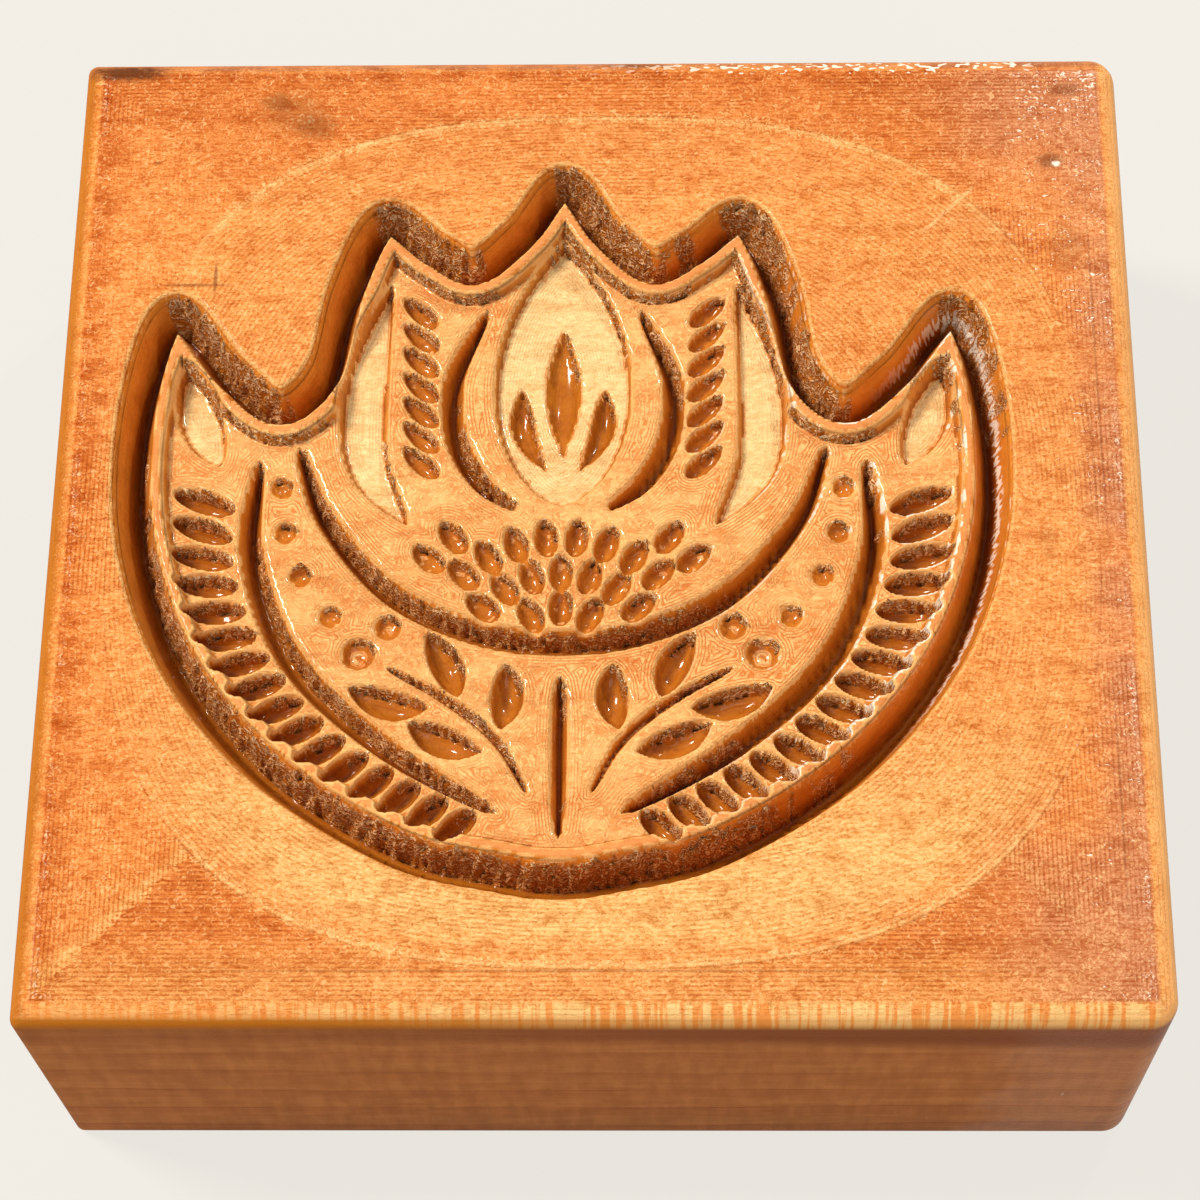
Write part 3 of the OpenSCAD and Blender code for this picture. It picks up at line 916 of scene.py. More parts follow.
@dataclass(frozen=True)
class Guides:
    """Where on the block a point is: sockets in millimetres, or masks from 0 to 1.

    Attributes:
        place: The point's place.
        x: Its place along the grain.
        y: Its place across the grain.
        z: Its height.
        right: How much its surface faces right, less than 0 where it faces left.
        front: How much its surface faces the back, less than 0 where it faces the front.
        up: How much its surface faces up.
        sunk: Depth below the top face.
        edge: Distance from the nearest side.
        oval: Distance from the block's middle, as a share of the oval that the cutter swept.
        passes: Distance from the nearest cut's edge.
        torn: How torn its fibres are.
        rim: How near a cut's upper edge is.
        crease: How near the foot of a wall is.
        wall: How far outwards the foot of the border's outer wall is.
        floor: 1 on the carving's ground and 2 on its petals.
        broad: Noise as wide as a finger.
        mottle: Noise a few millimetres wide, drawn out along the grain.
        dash: Noise of short fibres along the grain.
        grit: Noise of fine specks.
        curls: Thin curled lines, as of loose fibres: 1 at their middle.
    """

    place: Socket
    x: Socket
    y: Socket
    z: Socket
    right: Socket
    front: Socket
    up: Socket
    sunk: Socket
    edge: Socket
    oval: Socket
    passes: Socket
    torn: Socket
    rim: Socket
    crease: Socket
    wall: Socket
    floor: Socket
    broad: Socket
    mottle: Socket
    dash: Socket
    grit: Socket
    curls: Socket


@dataclass(frozen=True)
class OiledWood:
    """Close-grained reddish hardwood under oil, as a machine's cutter left it."""

    outer: str = "f8a860"
    inner: str = "fbb26a"
    near_front: str = "ffd08a"
    # pink tone of the right side: partly the wood's tone, partly painted glare
    plum: str = "dc9a74"
    ground: str = "ffd08a"
    petal: str = "ffe6aa"
    wall: str = "ec983a"
    # painted shade: the walls' colour deep in the cuts
    deep: str = "be7420"
    # pale rims along the cuts' edges: partly the wood's pale burr, partly a painted highlight
    rim: str = "ffcc84"
    lip: str = "eea468"
    torn: str = "f09a3c"
    pit: str = "a05a1c"
    curl: str = "ffe6bc"
    round_over: str = "f8a458"
    # pale colour of the front round-over's chatter stripes, partly a painted highlight
    round_chatter_highlight: str = "ffd692"
    side: str = "b27038"
    side_dark: str = "9e602b"
    # painted shadow: colour of the band under the top round-over
    shadow_under_round: str = "84481e"
    stain: str = "5a2e18"
    chip: str = "ffd494"
    # white of the painted glints and highlights
    glint: str = "fff2e2"
    dark_grain: str = "dcb88c"
    # painted shade: colour of the round-overs where they turn away from the light
    round_shade: str = "c07420"
    # painted light: the right round-over's lighter colour, as of a side that faces the light
    round_right_lit: str = "ffbe78"
    round_back: str = "c4825a"
    # painted shade: the tint that darkens the land towards the back
    back_shade: str = "f5ebe6"
    strand: str = "e6964e"
    growth_line: str = "c4905c"
    # painted shade: colour laid in the creases at the feet of the walls
    crease_shade: str = "a86a3c"
    curl_count: float = 5.0
    # where the painted line of glints lies on the border's outer wall, outwards from its foot
    glint_line_place: float = 0.52
    pitch: float = 0.37
    floor_pitch: float = 0.26
    ring_pitch: float = 4.6
    pith: tuple[float, float] = (8.0, -70.0)
    oval_middle: tuple[float, float] = (0.5, -1.0)
    oval_half: tuple[float, float] = (40.5, 38.5)
    oval_power: float = 2.7

    def guides(self, n: Nodes, block: Block) -> Guides:
        """Where on the block a point is.

        Formula: the oval's share is the root of the sum of the powers of both shares across it. The curls are
        lines of equal value in a noise: a sine of the noise times their count.

        Args:
            n: The material's nodes.
            block: The block.

        Returns:
            The sockets.
        """
        coords = n.add("ShaderNodeTexCoord")
        scale = n.add("ShaderNodeVectorMath", operation="SCALE")
        n.feed(scale.inputs[0], coords.outputs["Object"])
        scale.inputs["Scale"].default_value = 1.0 / MM
        place = scale.outputs[0]
        x, y, z = n.split(place)
        right, front, up = n.split(coords.outputs["Normal"])
        edge = n.math("MINIMUM", n.math("SUBTRACT", block.width / 2, n.math("ABSOLUTE", x)),
                      n.math("SUBTRACT", block.depth / 2, n.math("ABSOLUTE", y)))
        power = self.oval_power
        shares = (n.math("DIVIDE", n.math("ABSOLUTE", n.math("SUBTRACT", along, middle)), half)
                  for along, middle, half in zip((x, y), self.oval_middle, self.oval_half))
        total = n.math("ADD", *(n.math("POWER", share, power) for share in shares))
        marks = {}
        for name in ("passes", "torn", "rim", "crease", "wall", "floor"):
            node = n.add("ShaderNodeAttribute", attribute_type="GEOMETRY", attribute_name=name)
            marks[name] = node.outputs["Fac"]
        marks["broad"] = n.noise(place, (0.09, 0.14, 0.14), 3.0, 0.6, 5.0)
        marks["mottle"] = n.noise(place, (0.35, 0.6, 0.6), 3.0, 0.65, 47.0)
        marks["dash"] = n.noise(place, (1.2, 4.2, 4.2), 2.0, 0.65, 9.0, 0.7)
        marks["grit"] = n.noise(place, (2.2, 2.2, 2.2), 2.0, 0.6, 17.0, 1.8)
        swirl = n.noise(place, (0.9, 0.9, 0.9), 1.0, 0.5, 23.0, 1.4)
        wave = n.math("SINE", n.math("MULTIPLY", swirl, 2 * math.pi * self.curl_count))
        marks["curls"] = n.span(wave, -0.4, 1.0)
        return Guides(place, x, y, z, right, front, up, n.math("SUBTRACT", block.height, z), edge,
                      n.math("POWER", total, 1.0 / power), **marks)

    def land(self, n: Nodes, at: Guides, lines: Socket) -> Socket:
        """Colour of the top face's land: deeper outside the oval, palest in front of the carving. The paler oval is
        painted reflection, the paler front partly painted sheen, the darker back and the band corners by the mitres
        painted shade, and the pinker right side partly painted glare.

        Args:
            n: The material's nodes.
            at: Where the point is.
            lines: The dark lines between the cutter's passes.

        Returns:
            The colour.
        """
        dark = linear(self.dark_grain)
        ragged = n.math("SUBTRACT", at.dash, 0.5)
        rough = n.math("ADD", n.math("MULTIPLY", ragged, 0.1), n.math("MULTIPLY", at.grit, 0.05))
        outside = n.span(n.math("ADD", at.oval, rough), 1.012, 1.03)
        # painted reflection: inside the oval that the cutter swept, the land is painted a little paler than outside
        # it
        colour = n.blend(outside, linear(self.inner), linear(self.outer))
        # partly the wood's tone, partly painted sheen: paler in front of the carving
        pale = n.product(n.span(at.oval, 1.0, 0.9), n.span(at.y, -12.0, -34.0))
        colour = n.blend(pale, colour, linear(self.near_front))
        mitre = n.math("SUBTRACT", n.math("ABSOLUTE", at.y), n.math("ABSOLUTE", at.x))
        mitre = n.math("ADD", mitre, n.math("MULTIPLY", ragged, 3.0))
        front = n.span(at.y, 2.0, -2.0)
        strip = n.product(outside, front, n.span(n.math("ABSOLUTE", n.math("ADD", mitre, 2.2)), 0.9, 0.2), 0.6)
        colour = n.blend(strip, colour, linear(self.near_front))
        colour = n.blend(n.product(outside, front, n.span(at.y, -36.0, -40.0), 0.4), colour, linear(self.near_front))
        # painted shade: the front and back bands of the land darker towards their ends beside the mitres, most at the
        # front
        ends = n.span(n.math("ABSOLUTE", at.x), 8.0, 26.0, 0.0, 0.55)
        ends = n.product(ends, n.span(at.y, -41.0, -39.0, 0.4, 1.0), n.span(front, 0.0, 1.0, 0.45, 0.9))
        colour = n.blend(n.product(outside, n.span(mitre, -1.6, -1.0), ends), colour, dark, "MULTIPLY")
        # darker towards the left and back edges
        edge_band = n.math("MAXIMUM", n.span(at.x, -40.0, -43.0), n.span(at.y, 40.0, 42.5))
        colour = n.blend(n.product(edge_band, n.span(at.mottle, 0.3, 0.6, 0.3, 0.9)), colour, dark, "MULTIPLY")
        # painted shade: the land darkens towards the back
        colour = n.blend(n.span(at.y, 24.0, 40.0), colour, linear(self.back_shade), "MULTIPLY")
        # partly the wood's tone, partly painted glare: pinker along the right side
        right = n.product(n.span(n.math("ADD", at.x, n.math("MULTIPLY", at.mottle, 4.0)), 40.0, 44.5),
                          n.span(at.broad, 0.25, 0.55, 0.35, 0.9))
        colour = n.blend(right, colour, linear(self.plum))
        # partly the wood's tone, partly painted glare: pinker towards the top-right and bottom-right corners
        corner = n.product(n.span(at.x, 16.0, 42.0), n.span(n.math("ABSOLUTE", at.y), 14.0, 38.0))
        plum = n.span(n.math("ADD", corner, n.math("MULTIPLY", at.broad, 0.8)), 0.7, 1.4)
        colour = n.blend(n.math("MULTIPLY", plum, 0.8), colour, linear(self.plum))
        away = n.math("ABSOLUTE", n.math("SUBTRACT", at.oval, 0.992))
        rough = n.math("ADD", n.math("MULTIPLY", at.dash, 0.6), n.math("MULTIPLY", at.grit, 0.7))
        chip = n.span(n.math("ADD", n.math("MULTIPLY", away, -13.0), rough), 0.5, 0.64)
        chip = n.product(chip, n.span(n.math("ABSOLUTE", at.y), 20.0, 32.0), 0.85)
        colour = n.blend(chip, colour, linear(self.chip))
        return n.blend(n.product(lines, n.span(outside, 0.0, 1.0, 0.5, 0.7)), colour, dark, "MULTIPLY")

    def carving(self, n: Nodes, at: Guides, land: Socket, lines: Socket) -> Socket:
        """Colour in the carving: pale floors, walls with painted shade that deepens with depth and in the creases at
        their feet, pale rims that are partly a painted highlight, and dark torn fibres with pale curls.

        Args:
            n: The material's nodes.
            at: Where the point is.
            land: Colour of the land.
            lines: The dark lines between the cutter's passes.

        Returns:
            The colour.
        """
        dark = linear(self.dark_grain)
        # painted shade: the walls darken with depth
        depth = n.math("ADD", at.sunk, n.math("MULTIPLY", n.math("SUBTRACT", at.mottle, 0.5), 1.5))
        wall = n.blend(n.span(depth, 1.2, 5.2), linear(self.wall), linear(self.deep))
        terrace = n.math("SINE", n.math("MULTIPLY", at.sunk, 2 * math.pi / self.pitch))
        wall = n.blend(n.product(n.span(terrace, 0.2, 1.0), n.span(at.mottle, 0.4, 0.6), 0.3), wall, dark, "MULTIPLY")
        floor = n.blend(n.span(at.floor, 1.3, 1.7), linear(self.ground), linear(self.petal))
        near = n.product(lines, n.span(at.passes, 2.2, 1.0), 0.8)
        fuzz = n.product(n.span(at.curls, 0.7, 0.0), n.span(at.mottle, 0.35, 0.6, 0.15, 0.55))
        marked = n.product(n.math("MAXIMUM", fuzz, near), n.span(at.floor, 1.3, 1.7, 1.0, 0.35))
        floor = n.blend(marked, floor, linear(self.strand), "MULTIPLY")
        # painted shade in the creases at the feet of the walls
        wall = n.blend(n.math("MULTIPLY", at.crease, 0.8), wall, linear(self.crease_shade), "MULTIPLY")
        # the border's outer wall on the right keeps the plain wall colour, without the painted shade of depth
        wall = n.blend(n.product(n.span(at.wall, 0.3, 0.7), n.span(at.x, -5.0, 15.0), 0.75), wall, linear(self.wall))
        colour = n.blend(n.span(at.sunk, 0.12, 0.4), land, wall)
        lip = n.product(n.span(at.up, 0.75, 0.95), n.span(at.sunk, 0.35, 0.6), n.span(at.sunk, 1.5, 1.1))
        colour = n.blend(n.math("MULTIPLY", lip, 0.8), colour, linear(self.lip))
        colour = n.blend(n.span(at.floor, 0.3, 0.8), colour, floor)
        # pale rims along the cuts' upper edges: partly pale burr, partly a painted highlight
        rim = n.product(n.span(n.math("ADD", at.rim, at.grit), 0.85, 1.15), n.span(at.sunk, 0.35, 0.7))
        # pale line along the land's edge at the cuts' mouths: partly pale burr, partly a painted highlight
        away = n.math("ABSOLUTE", n.math("SUBTRACT", at.passes, 0.08))
        arris = n.span(n.math("ADD", away, n.math("MULTIPLY", at.grit, 0.12)), 0.22, 0.12)
        colour = n.blend(n.math("MULTIPLY", n.math("MAXIMUM", rim, arris), 0.85), colour, linear(self.rim))
        loose = n.math("MAXIMUM", n.product(n.span(at.curls, 0.4, 0.8), n.span(at.grit, 0.38, 0.46), 0.9),
                       n.span(at.grit, 0.6, 0.7))
        loose = n.product(loose, n.span(at.sunk, 5.4, 2.4, 0.5, 1.0))
        gap = n.math("MAXIMUM", n.span(at.grit, 0.46, 0.34), n.product(n.span(at.curls, 0.2, 0.0), 0.7))
        torn = n.blend(gap, linear(self.torn), linear(self.pit))
        torn = n.blend(loose, torn, linear(self.curl))
        colour = n.blend(n.span(n.math("ADD", at.torn, n.math("MULTIPLY", at.grit, 0.8)), 0.5, 0.95), colour, torn)
        # the same pale line on the land itself: partly pale burr, partly a painted highlight
        return n.blend(n.product(arris, n.span(at.sunk, 0.35, 0.2), 0.9), colour, linear(self.rim))

    def edges(self, n: Nodes, at: Guides, block: Block, inside: Socket) -> Socket:
        """Colour of the rounded edges and the sides, where the point isn't on the top face, with painted light and
        shade: the front round-over's chatter stripes painted pale as a highlight, a lighter right round-over, a
        darker left round-over and lower front round-over, and a painted shadow under the top round-over.
        """
        # pale stripes on the front round-over: the cutter's chatter marks, painted pale as a highlight
        ripple = n.noise(at.place, (2.0, 0.12, 0.12), 2.0, 0.6, 13.0)
        light = n.product(n.span(ripple, 0.42, 0.56), n.span(at.x, -50.0, 5.0, 0.3, 1.0), n.span(at.front, 0.1, -0.1))
        rounded = n.blend(light, linear(self.round_over), linear(self.round_chatter_highlight))
        # painted shade: the front round-over darkens as it turns down towards the front face, most on the left
        low = n.product(n.span(at.sunk, 0.25, 0.9), n.span(at.front, -0.1, -0.5), n.span(at.x, 20.0, -25.0, 0.4, 1.0))
        # painted shade: the left round-over is darker
        low = n.math("MAXIMUM", low, n.product(n.span(at.x, -43.4, -44.4), n.span(at.front, -0.6, -0.3), 0.85))
        rounded = n.blend(low, rounded, linear(self.round_shade))
        back = n.product(n.span(at.y, 41.9, 42.6), n.span(at.mottle, 0.35, 0.6, 0.5, 1.0))
        rounded = n.blend(back, rounded, linear(self.round_back))
        # painted light: the right round-over is painted lighter
        rounded = n.blend(n.span(at.x, 43.0, 44.0), rounded, linear(self.round_right_lit))
        # painted shade: the left round-over is darkened again
        rounded = n.blend(n.span(at.x, -43.2, -44.4, 0.0, 0.45), rounded, linear(self.round_shade))
        colour = n.blend(n.span(at.edge, block.top_round, block.top_round - 0.5), inside, rounded)
        weave = n.math("ADD", n.noise(at.place, (0.16, 0.5, 0.9), 3.0, 0.6, 31.0),
                       n.noise(at.place, (0.9, 0.5, 0.16), 3.0, 0.6, 33.0))
        side = n.blend(n.span(weave, 0.75, 1.3), linear(self.side_dark), linear(self.side))
        # painted shadow: a dark band on the sides just under the top round-over, widest on the right and strongest on
        # the front face
        fade = n.math("SUBTRACT", at.sunk, n.span(at.x, 0.0, 40.0, 0.0, 1.6))
        under = n.product(n.span(fade, 7.0, 3.2), n.span(at.x, -45.0, 25.0, 0.35, 1.0),
                          n.span(at.front, -0.2, -0.7, 0.35, 1.0))
        side = n.blend(under, side, linear(self.shadow_under_round))
        below = n.product(n.span(at.edge, 1.0, 0.6), n.span(at.sunk, block.top_round - 1.0, block.top_round + 0.2))
        below = n.math("MAXIMUM", below, n.span(at.up, -0.2, -0.5))
        return n.blend(below, colour, side)

    def grain(self, n: Nodes, at: Guides, colour: Socket) -> Socket:
        """Lays the wood's growth lines, streaks and short dark fibres over a colour.

        Formula: growth lines are cylinders about a pith that runs along the grain under the block, each with a
        thin dark line at its outer face.

        Args:
            n: The material's nodes.
            at: Where the point is.
            colour: The colour below.

        Returns:
            The colour with its grain.
        """
        wander = n.noise(at.place, (0.012, 0.06, 0.06), 2.0, 0.5, 41.0)
        out_y, out_z = (n.math("SUBTRACT", along, middle) for along, middle in zip((at.y, at.z), self.pith))
        radius = n.math("SQRT", n.math("ADD", n.product(out_y, out_y), n.product(out_z, out_z)))
        radius = n.math("ADD", radius, n.math("MULTIPLY", wander, 5.0))
        turn = n.math("FRACT", n.math("DIVIDE", radius, self.ring_pitch))
        line = n.math("MAXIMUM", n.product(n.span(turn, 0.2, 1.0), 0.3),
                      n.product(n.span(turn, 0.92, 0.98), n.span(at.broad, 0.35, 0.55, 0.2, 0.8),
                                n.span(at.z, 22.0, 13.0, 0.35, 1.0)))
        dark = linear(self.dark_grain)
        colour = n.blend(n.product(line, n.span(at.sunk, 2.0, 6.0, 0.3, 0.8)), colour, linear(self.growth_line),
                         "MULTIPLY")
        streak = n.noise(at.place, (0.02, 0.6, 0.6), 3.0, 0.6, 45.0)
        colour = n.blend(n.product(n.span(streak, 0.35, 0.7), n.span(at.edge, 0.3, 2.0, 0.1, 0.3)), colour, dark,
                         "MULTIPLY")
        bare = n.product(n.span(at.sunk, 0.35, 0.7), n.span(at.floor, 0.5, 0.1))
        flat = n.product(n.span(at.edge, 0.3, 2.0, 0.3, 1.0), n.span(bare, 0.0, 1.0, 1.0, 0.25),
                         n.span(at.floor, 0.3, 0.8, 1.0, 0.5))
        colour = n.blend(n.product(n.span(at.dash, 0.44, 0.6), flat, 0.65), colour, dark, "MULTIPLY")
        colour = n.blend(n.product(n.span(at.grit, 0.5, 0.32), flat, 0.7), colour, dark, "MULTIPLY")
        land = n.product(flat, n.span(at.sunk, 0.5, 0.2))
        colour = n.blend(n.product(n.span(at.grit, 0.54, 0.68), land, 0.5), colour, linear(self.chip))
        return n.blend(n.product(n.span(at.mottle, 0.45, 0.7), flat, 0.6), colour, dark, "MULTIPLY")

    def marks(self, n: Nodes, at: Guides, block: Block, colour: Socket) -> Socket:
        """Adds the stains, blots and tool marks that the top face carries, and painted glints: white highlights
        painted into the colour where wet fibres would catch the light.

        Args:
            n: The material's nodes.
            at: Where the point is.
            block: The block.
            colour: The colour below.

        Returns:
            The colour with its marks.
        """
        spots = ((-41.2, 42.3, 5.0, 1.3, 0.9), (-28.0, 39.2, 1.8, 1.3, 0.35), (-24.5, 36.6, 2.4, 1.8, 0.35),
                 (-26.3, 38.0, 3.6, 3.0, 0.25), (38.8, 32.8, 1.5, 1.0, 0.55), (40.4, 40.0, 1.9, 0.9, 0.4), (39.6, 24.6, 2.0, 3.0, 0.2),
                 (3.6, 42.9, 4.2, 0.5, 0.6), (-34.2, 20.9, 4.2, 0.22, 0.5), (-32.4, 21.6, 0.25, 2.3, 0.6),
                 (-38.0, 33.0, 0.5, 0.25, 0.6), (0.0, -39.6, 43.0, 0.14, 0.35), (36.9, -3.4, 1.1, 2.6, 0.15),
                 (41.6, 14.0, 0.13, 22.0, 0.3), (41.4, -26.0, 0.13, 12.0, 0.3))
        top = n.span(at.sunk, 1.2, 0.3)
        for x, y, half_x, half_y, strength in spots:
            mask = n.spot(at.place, x, y, half_x, half_y, at.dash)
            colour = n.blend(n.product(mask, top, strength), colour, linear(self.stain))
        across = n.math("ABSOLUTE", n.math("SUBTRACT", n.math("SUBTRACT", at.x, at.y), 1.9))
        along = n.math("ABSOLUTE", n.math("SUBTRACT", n.math("ADD", at.x, at.y), 57.8))
        scratch = n.product(n.span(across, 0.35, 0.1), n.span(along, 5.3, 3.3), n.span(at.grit, 0.3, 0.55), top, 0.45)
        colour = n.blend(scratch, colour, linear(self.chip))
        # painted glints: white specks of highlight where wet fibres would catch the light, most on the right
        top_right = n.product(n.span(at.x, 30.0, 38.0), n.span(at.y, 14.0, 30.0), 0.08)
        right = n.product(n.span(at.x, 32.0, 43.0), n.span(at.broad, 0.38, 0.58), 0.1)
        right = n.math("ADD", right, top_right)
        fine = n.math("ADD", n.math("MULTIPLY", at.grit, 0.45), n.math("MULTIPLY", at.dash, 0.55))
        glint = n.span(n.math("ADD", fine, right), 0.69, 0.73)
        glint = n.product(glint, n.span(at.edge, 1.7, 2.0), n.span(at.sunk, 6.0, 5.0), n.span(at.up, 0.3, 0.6), 0.85)
        # painted glint in the dent near the top-right corner
        glint = n.math("MAXIMUM", glint, n.product(n.spot(at.place, 39.3, 32.5, 0.5, 0.35, at.grit), top))
        # painted highlights: thin white arcs on the rims of the lobes on the right, where they face the back and the
        # left
        facing = n.math("SUBTRACT", n.math("MULTIPLY", at.front, 0.6), n.math("MULTIPLY", at.right, 0.9))
        arcs = n.product(n.span(at.rim, 0.3, 0.6), n.span(facing, 0.1, 0.3), n.span(at.x, 4.0, 22.0),
                         n.span(n.math("ADD", at.mottle, n.math("MULTIPLY", at.grit, 0.3)), 0.6, 0.68),
                         n.span(at.sunk, 0.4, 0.8))
        glint = n.math("MAXIMUM", glint, n.math("MULTIPLY", arcs, 0.85))
        # painted highlights: a beaded white line along the border's outer wall on the right
        line = n.math("ABSOLUTE", n.math("SUBTRACT", at.wall, self.glint_line_place))
        bead = n.noise(at.place, (3.2, 3.2, 0.4), 0.0, 0.5, 29.0)
        beads = n.span(n.math("ADD", line, n.math("MULTIPLY", bead, 0.9)), 0.66, 0.5)
        beads = n.product(beads, n.span(at.x, 22.0, 30.0), n.span(at.sunk, 2.0, 3.0))
        # painted glints: a dotted white line along the arris of the left and right edges
        edge = n.math("ABSOLUTE", n.math("SUBTRACT", at.edge, block.top_round + 0.2))
        edge_band = n.product(n.span(edge, 0.35, 0.1), n.span(n.math("ABSOLUTE", at.x), 41.0, 42.5),
                         n.span(at.x, -1.0, 1.0, 0.3, 0.6),
                         n.span(at.grit, 0.5, 0.68), n.span(at.broad, 0.4, 0.6, 0.15, 1.0))
        # painted glints: white blobs along the back edge
        edge = n.math("ABSOLUTE", n.math("SUBTRACT", at.edge, 1.2))
        blobs = n.noise(at.place, (1.7, 3.0, 3.0), 0.0, 0.5, 53.0)
        blobs = n.product(n.span(n.math("SUBTRACT", blobs, n.math("MULTIPLY", edge, 0.25)), 0.53, 0.58),
                          n.span(at.y, 41.0, 42.0), n.span(at.x, -6.0, 16.0), n.span(at.x, 39.0, 36.0))
        edge_band = n.math("MULTIPLY", n.math("MAXIMUM", edge_band, blobs), top)
        # all the painted glints and highlights laid on in white
        return n.blend(n.math("MAXIMUM", n.math("MAXIMUM", glint, beads), edge_band), colour, linear(self.glint))

    def lines(self, n: Nodes, at: Guides) -> Socket:
        """The dark lines between the cutter's passes.

        Formula: a sine of the distance that the passes follow, over their pitch. They follow the nearest side
        outside the oval, the oval inside it, and the nearest cut's edge in the carving.

        Args:
            n: The material's nodes.
            at: Where the point is.

        Returns:
            A mask, patchy as the lines are.
        """
        follow = n.add("ShaderNodeMix", data_type="FLOAT")
        n.feed(follow.inputs[0], n.span(at.oval, 1.0005, 0.9995))
        n.feed(follow.inputs[2], at.edge)
        n.feed(follow.inputs[3], n.math("MULTIPLY", at.oval, self.oval_half[1]))
        below = n.add("ShaderNodeMix", data_type="FLOAT")
        n.feed(below.inputs[0], n.span(at.sunk, 1.0, 1.3))
        n.feed(below.inputs[2], follow.outputs[0])
        n.feed(below.inputs[3], n.math("MULTIPLY", at.passes, self.pitch / self.floor_pitch))
        wobble = n.math("MULTIPLY", n.math("ADD", at.dash, at.grit), 0.13)
        way = n.math("ADD", below.outputs[0], wobble)
        rib = n.math("ADD", n.math("SINE", n.math("MULTIPLY", way, 2 * math.pi / self.pitch)), at.grit)
        patchy = n.span(at.broad, 0.36, 0.6, 0.25, 1.0)
        return n.math("MULTIPLY", n.span(rib, 0.5, 1.35), patchy)

    def relief(self, n: Nodes, at: Guides, lines: Socket) -> Socket:
        """Height of the fine relief, in millimetres.

        Args:
            n: The material's nodes.
            at: Where the point is.
            lines: The lines between the cutter's passes.

        Returns:
            The height.
        """
        height = n.math("ADD", n.math("MULTIPLY", lines, -0.025),
                        n.math("MULTIPLY", at.dash, n.span(at.sunk, 0.35, 0.7, -0.1, -0.03)))
        height = n.math("ADD", height, n.math("MULTIPLY", at.grit, n.span(at.torn, 0.2, 0.8, 0.06, 0.2)))
        fibres = n.math("MAXIMUM", n.math("MULTIPLY", at.torn, 0.22), n.span(at.floor, 0.3, 0.8, 0.0, 0.03))
        return n.math("ADD", height, n.math("MULTIPLY", at.curls, fibres))

    def material(self, block: Block) -> bpy.types.Material:
        """The finish of the whole block.

        Args:
            block: The block, for the sizes that the cutter's paths follow.

        Returns:
            The material.
        """
        material = bpy.data.materials.new("oiled_wood")
        material.use_nodes = True
        n = Nodes(material.node_tree)
        shader = n.add("ShaderNodeBsdfPrincipled")
        out = n.add("ShaderNodeOutputMaterial")
        n.feed(out.inputs["Surface"], shader.outputs[0])
        at = self.guides(n, block)
        lines = self.lines(n, at)
        colour = self.carving(n, at, self.land(n, at, lines), lines)
        colour = self.edges(n, at, block, colour)
        colour = self.marks(n, at, block, self.grain(n, at, colour))
        n.feed(shader.inputs["Base Color"], colour)
        wet = n.span(n.math("ADD", n.span(at.x, 20.0, 45.0), at.broad), 0.75, 1.3)
        n.feed(shader.inputs["Roughness"], n.span(wet, 0.0, 1.0, 0.5, 0.3))
        polished = n.math("MAXIMUM", n.span(wet, 0.0, 1.0, 0.1, 0.5), n.span(at.sunk, 0.3, 1.5, 0.0, 0.6))
        n.feed(shader.inputs["Coat Weight"], n.product(n.span(at.edge, 1.5, 2.0), polished, n.span(at.up, -0.5, -0.2),
                                                       n.span(at.torn, 0.0, 0.5, 1.0, 0.2)))
        shader.inputs["Coat Roughness"].default_value = 0.12
        shader.inputs["Specular IOR Level"].default_value = 0.02
        bump = n.add("ShaderNodeBump")
        bump.inputs["Strength"].default_value = 1.0
        bump.inputs["Distance"].default_value = MM
        n.feed(bump.inputs["Height"], self.relief(n, at, lines))
        n.feed(shader.inputs["Normal"], bump.outputs[0])
        return material


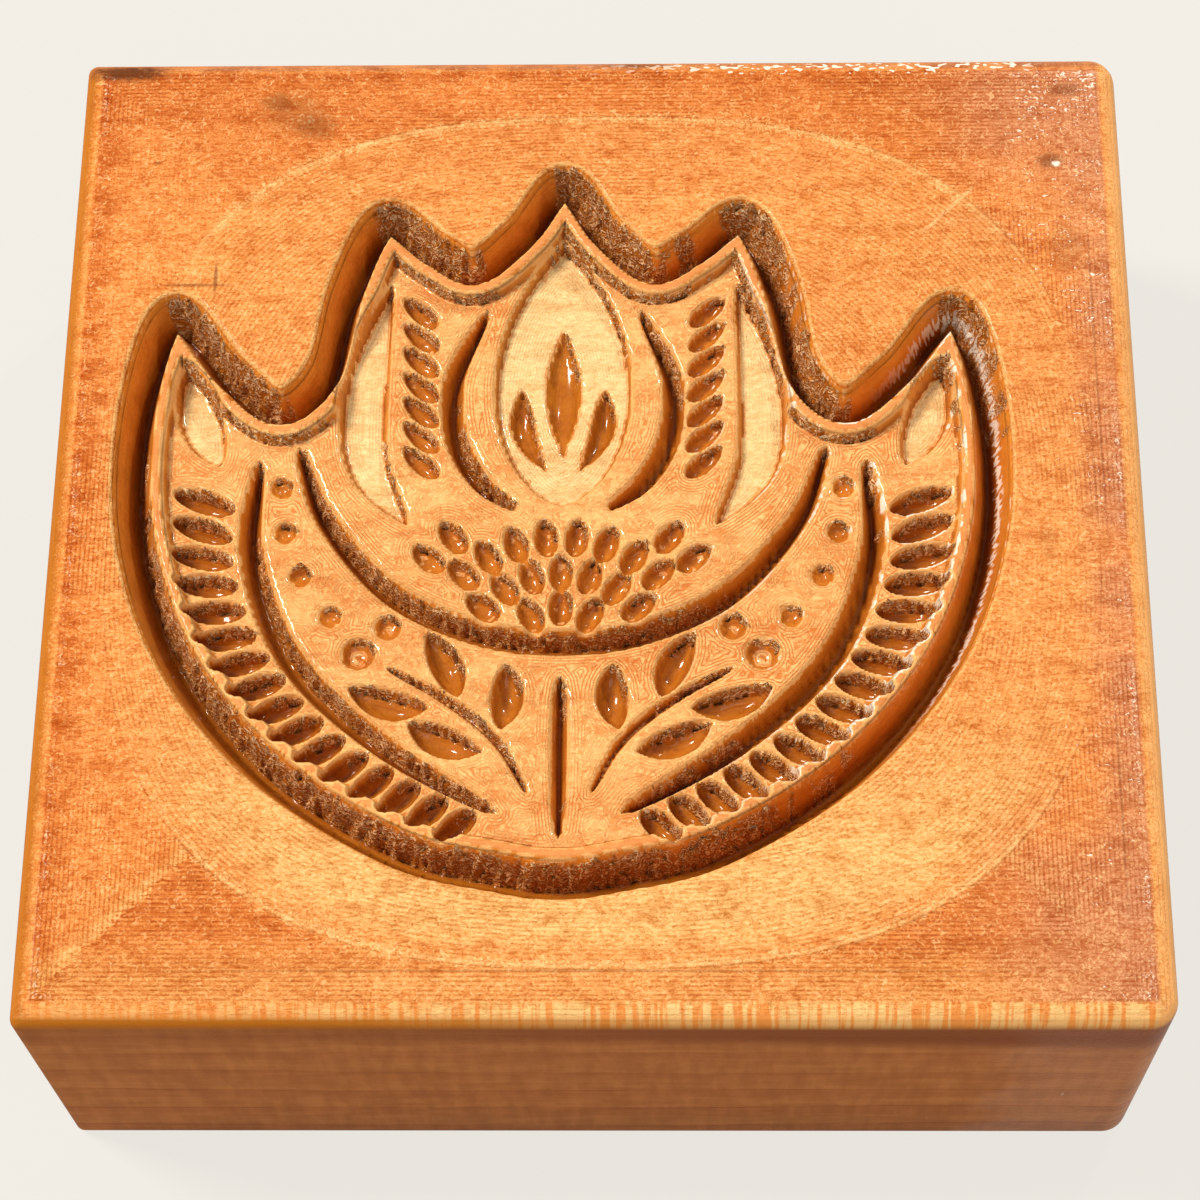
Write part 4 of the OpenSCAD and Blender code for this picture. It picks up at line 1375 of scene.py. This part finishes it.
@dataclass(frozen=True)
class Studio:
    """Plain pale floor, soft lights and the camera at the photograph's angle."""

    floor_colour: str = "efece5"
    floor_half: float = 1.5
    lens: float = 95.6
    camera_at: tuple[float, float, float] = (5.43, -113.3, 268.2)
    camera_turn: tuple[float, float, float] = (24.037, 1.076, 0.331)

    def floor(self) -> bpy.types.Object:
        """A wide pale floor that shows its own colour to the camera and keeps a soft shadow."""
        size = self.floor_half
        corners = np.array([[-size, -size, 0], [size, -size, 0], [size, size, 0], [-size, size, 0]])
        floor = bpy.data.objects.new("floor", raw_mesh("floor", corners, [np.array([[0, 1, 2, 3]])]))
        bpy.context.scene.collection.objects.link(floor)
        material = bpy.data.materials.new("pale_floor")
        material.use_nodes = True
        n = Nodes(material.node_tree)
        out = n.add("ShaderNodeOutputMaterial")
        matt = n.add("ShaderNodeBsdfDiffuse")
        matt.inputs["Color"].default_value = linear(self.floor_colour)
        glow = n.add("ShaderNodeEmission")
        glow.inputs["Color"].default_value = linear(self.floor_colour)
        path = n.add("ShaderNodeLightPath")
        seen = n.math("MAXIMUM", path.outputs["Is Camera Ray"], path.outputs["Is Glossy Ray"])
        seen = n.math("MAXIMUM", seen, path.outputs["Is Transmission Ray"])
        mix = n.add("ShaderNodeMixShader")
        n.feed(mix.inputs[0], n.math("MULTIPLY", seen, 0.9))
        n.feed(mix.inputs[1], matt.outputs[0])
        n.feed(mix.inputs[2], glow.outputs[0])
        n.feed(out.inputs["Surface"], mix.outputs[0])
        floor.data.materials.append(material)
        return floor

    def lamp(self, name: str, aim: tuple[float, float, float], away: float, size: float, power: float,
             colour: str) -> None:
        """A square soft light that looks at the block from a direction."""
        data = bpy.data.lights.new(name, "AREA")
        data.size = size
        data.energy = power
        data.color = linear(colour)[:3]
        lamp = bpy.data.objects.new(name, data)
        bpy.context.scene.collection.objects.link(lamp)
        aim_at = Vector((0.0, 0.0, 0.02))
        lamp.location = aim_at + Vector(aim).normalized() * away
        lamp.rotation_euler = (lamp.location - aim_at).to_track_quat("Z", "Y").to_euler()

    def lights(self) -> None:
        """The key light from behind, a weaker front light and a pale sky."""
        self.lamp("key", (-0.52, 0.2, 0.83), 1.4, 0.3, 18.5, "fff4e6")
        self.lamp("front", (0.3, -0.75, 0.6), 0.9, 0.6, 1.8, "fff6ec")
        self.lamp("spark", (0.45, 0.6, 0.66), 0.8, 0.035, 1.6, "fffaf4")
        world = bpy.data.worlds.new("sky")
        world.use_nodes = True
        n = Nodes(world.node_tree)
        out = n.add("ShaderNodeOutputWorld")
        back = n.add("ShaderNodeBackground")
        back.inputs["Color"].default_value = linear("f4efe6")
        back.inputs["Strength"].default_value = 0.35
        n.feed(out.inputs["Surface"], back.outputs[0])
        bpy.context.scene.world = world
        bpy.context.scene.view_settings.view_transform = "Standard"

    def camera(self) -> None:
        """The camera, fitted to the block's corners in the photograph."""
        data = bpy.data.cameras.new("camera")
        data.sensor_width = 36.0
        data.lens = self.lens
        data.clip_start = 0.01
        camera = bpy.data.objects.new("camera", data)
        bpy.context.scene.collection.objects.link(camera)
        camera.location = Vector(self.camera_at) * MM
        camera.rotation_euler = Euler([math.radians(a) for a in self.camera_turn], "XYZ")
        bpy.context.scene.camera = camera


def main() -> None:
    """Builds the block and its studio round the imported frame."""
    logging.basicConfig(level=logging.INFO, format="%(name)s %(message)s")
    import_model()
    low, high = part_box("stamp_block")
    size = [(b - a) / MM for a, b in zip(low, high)]
    block = Block(*size, step=Block.step)
    piece = block.build()
    piece.data.materials.append(OiledWood().material(block))
    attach(piece, "root")
    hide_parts("stamp_block")
    studio = Studio()
    studio.floor()
    studio.lights()
    studio.camera()


if __name__ == "__main__":
    main()
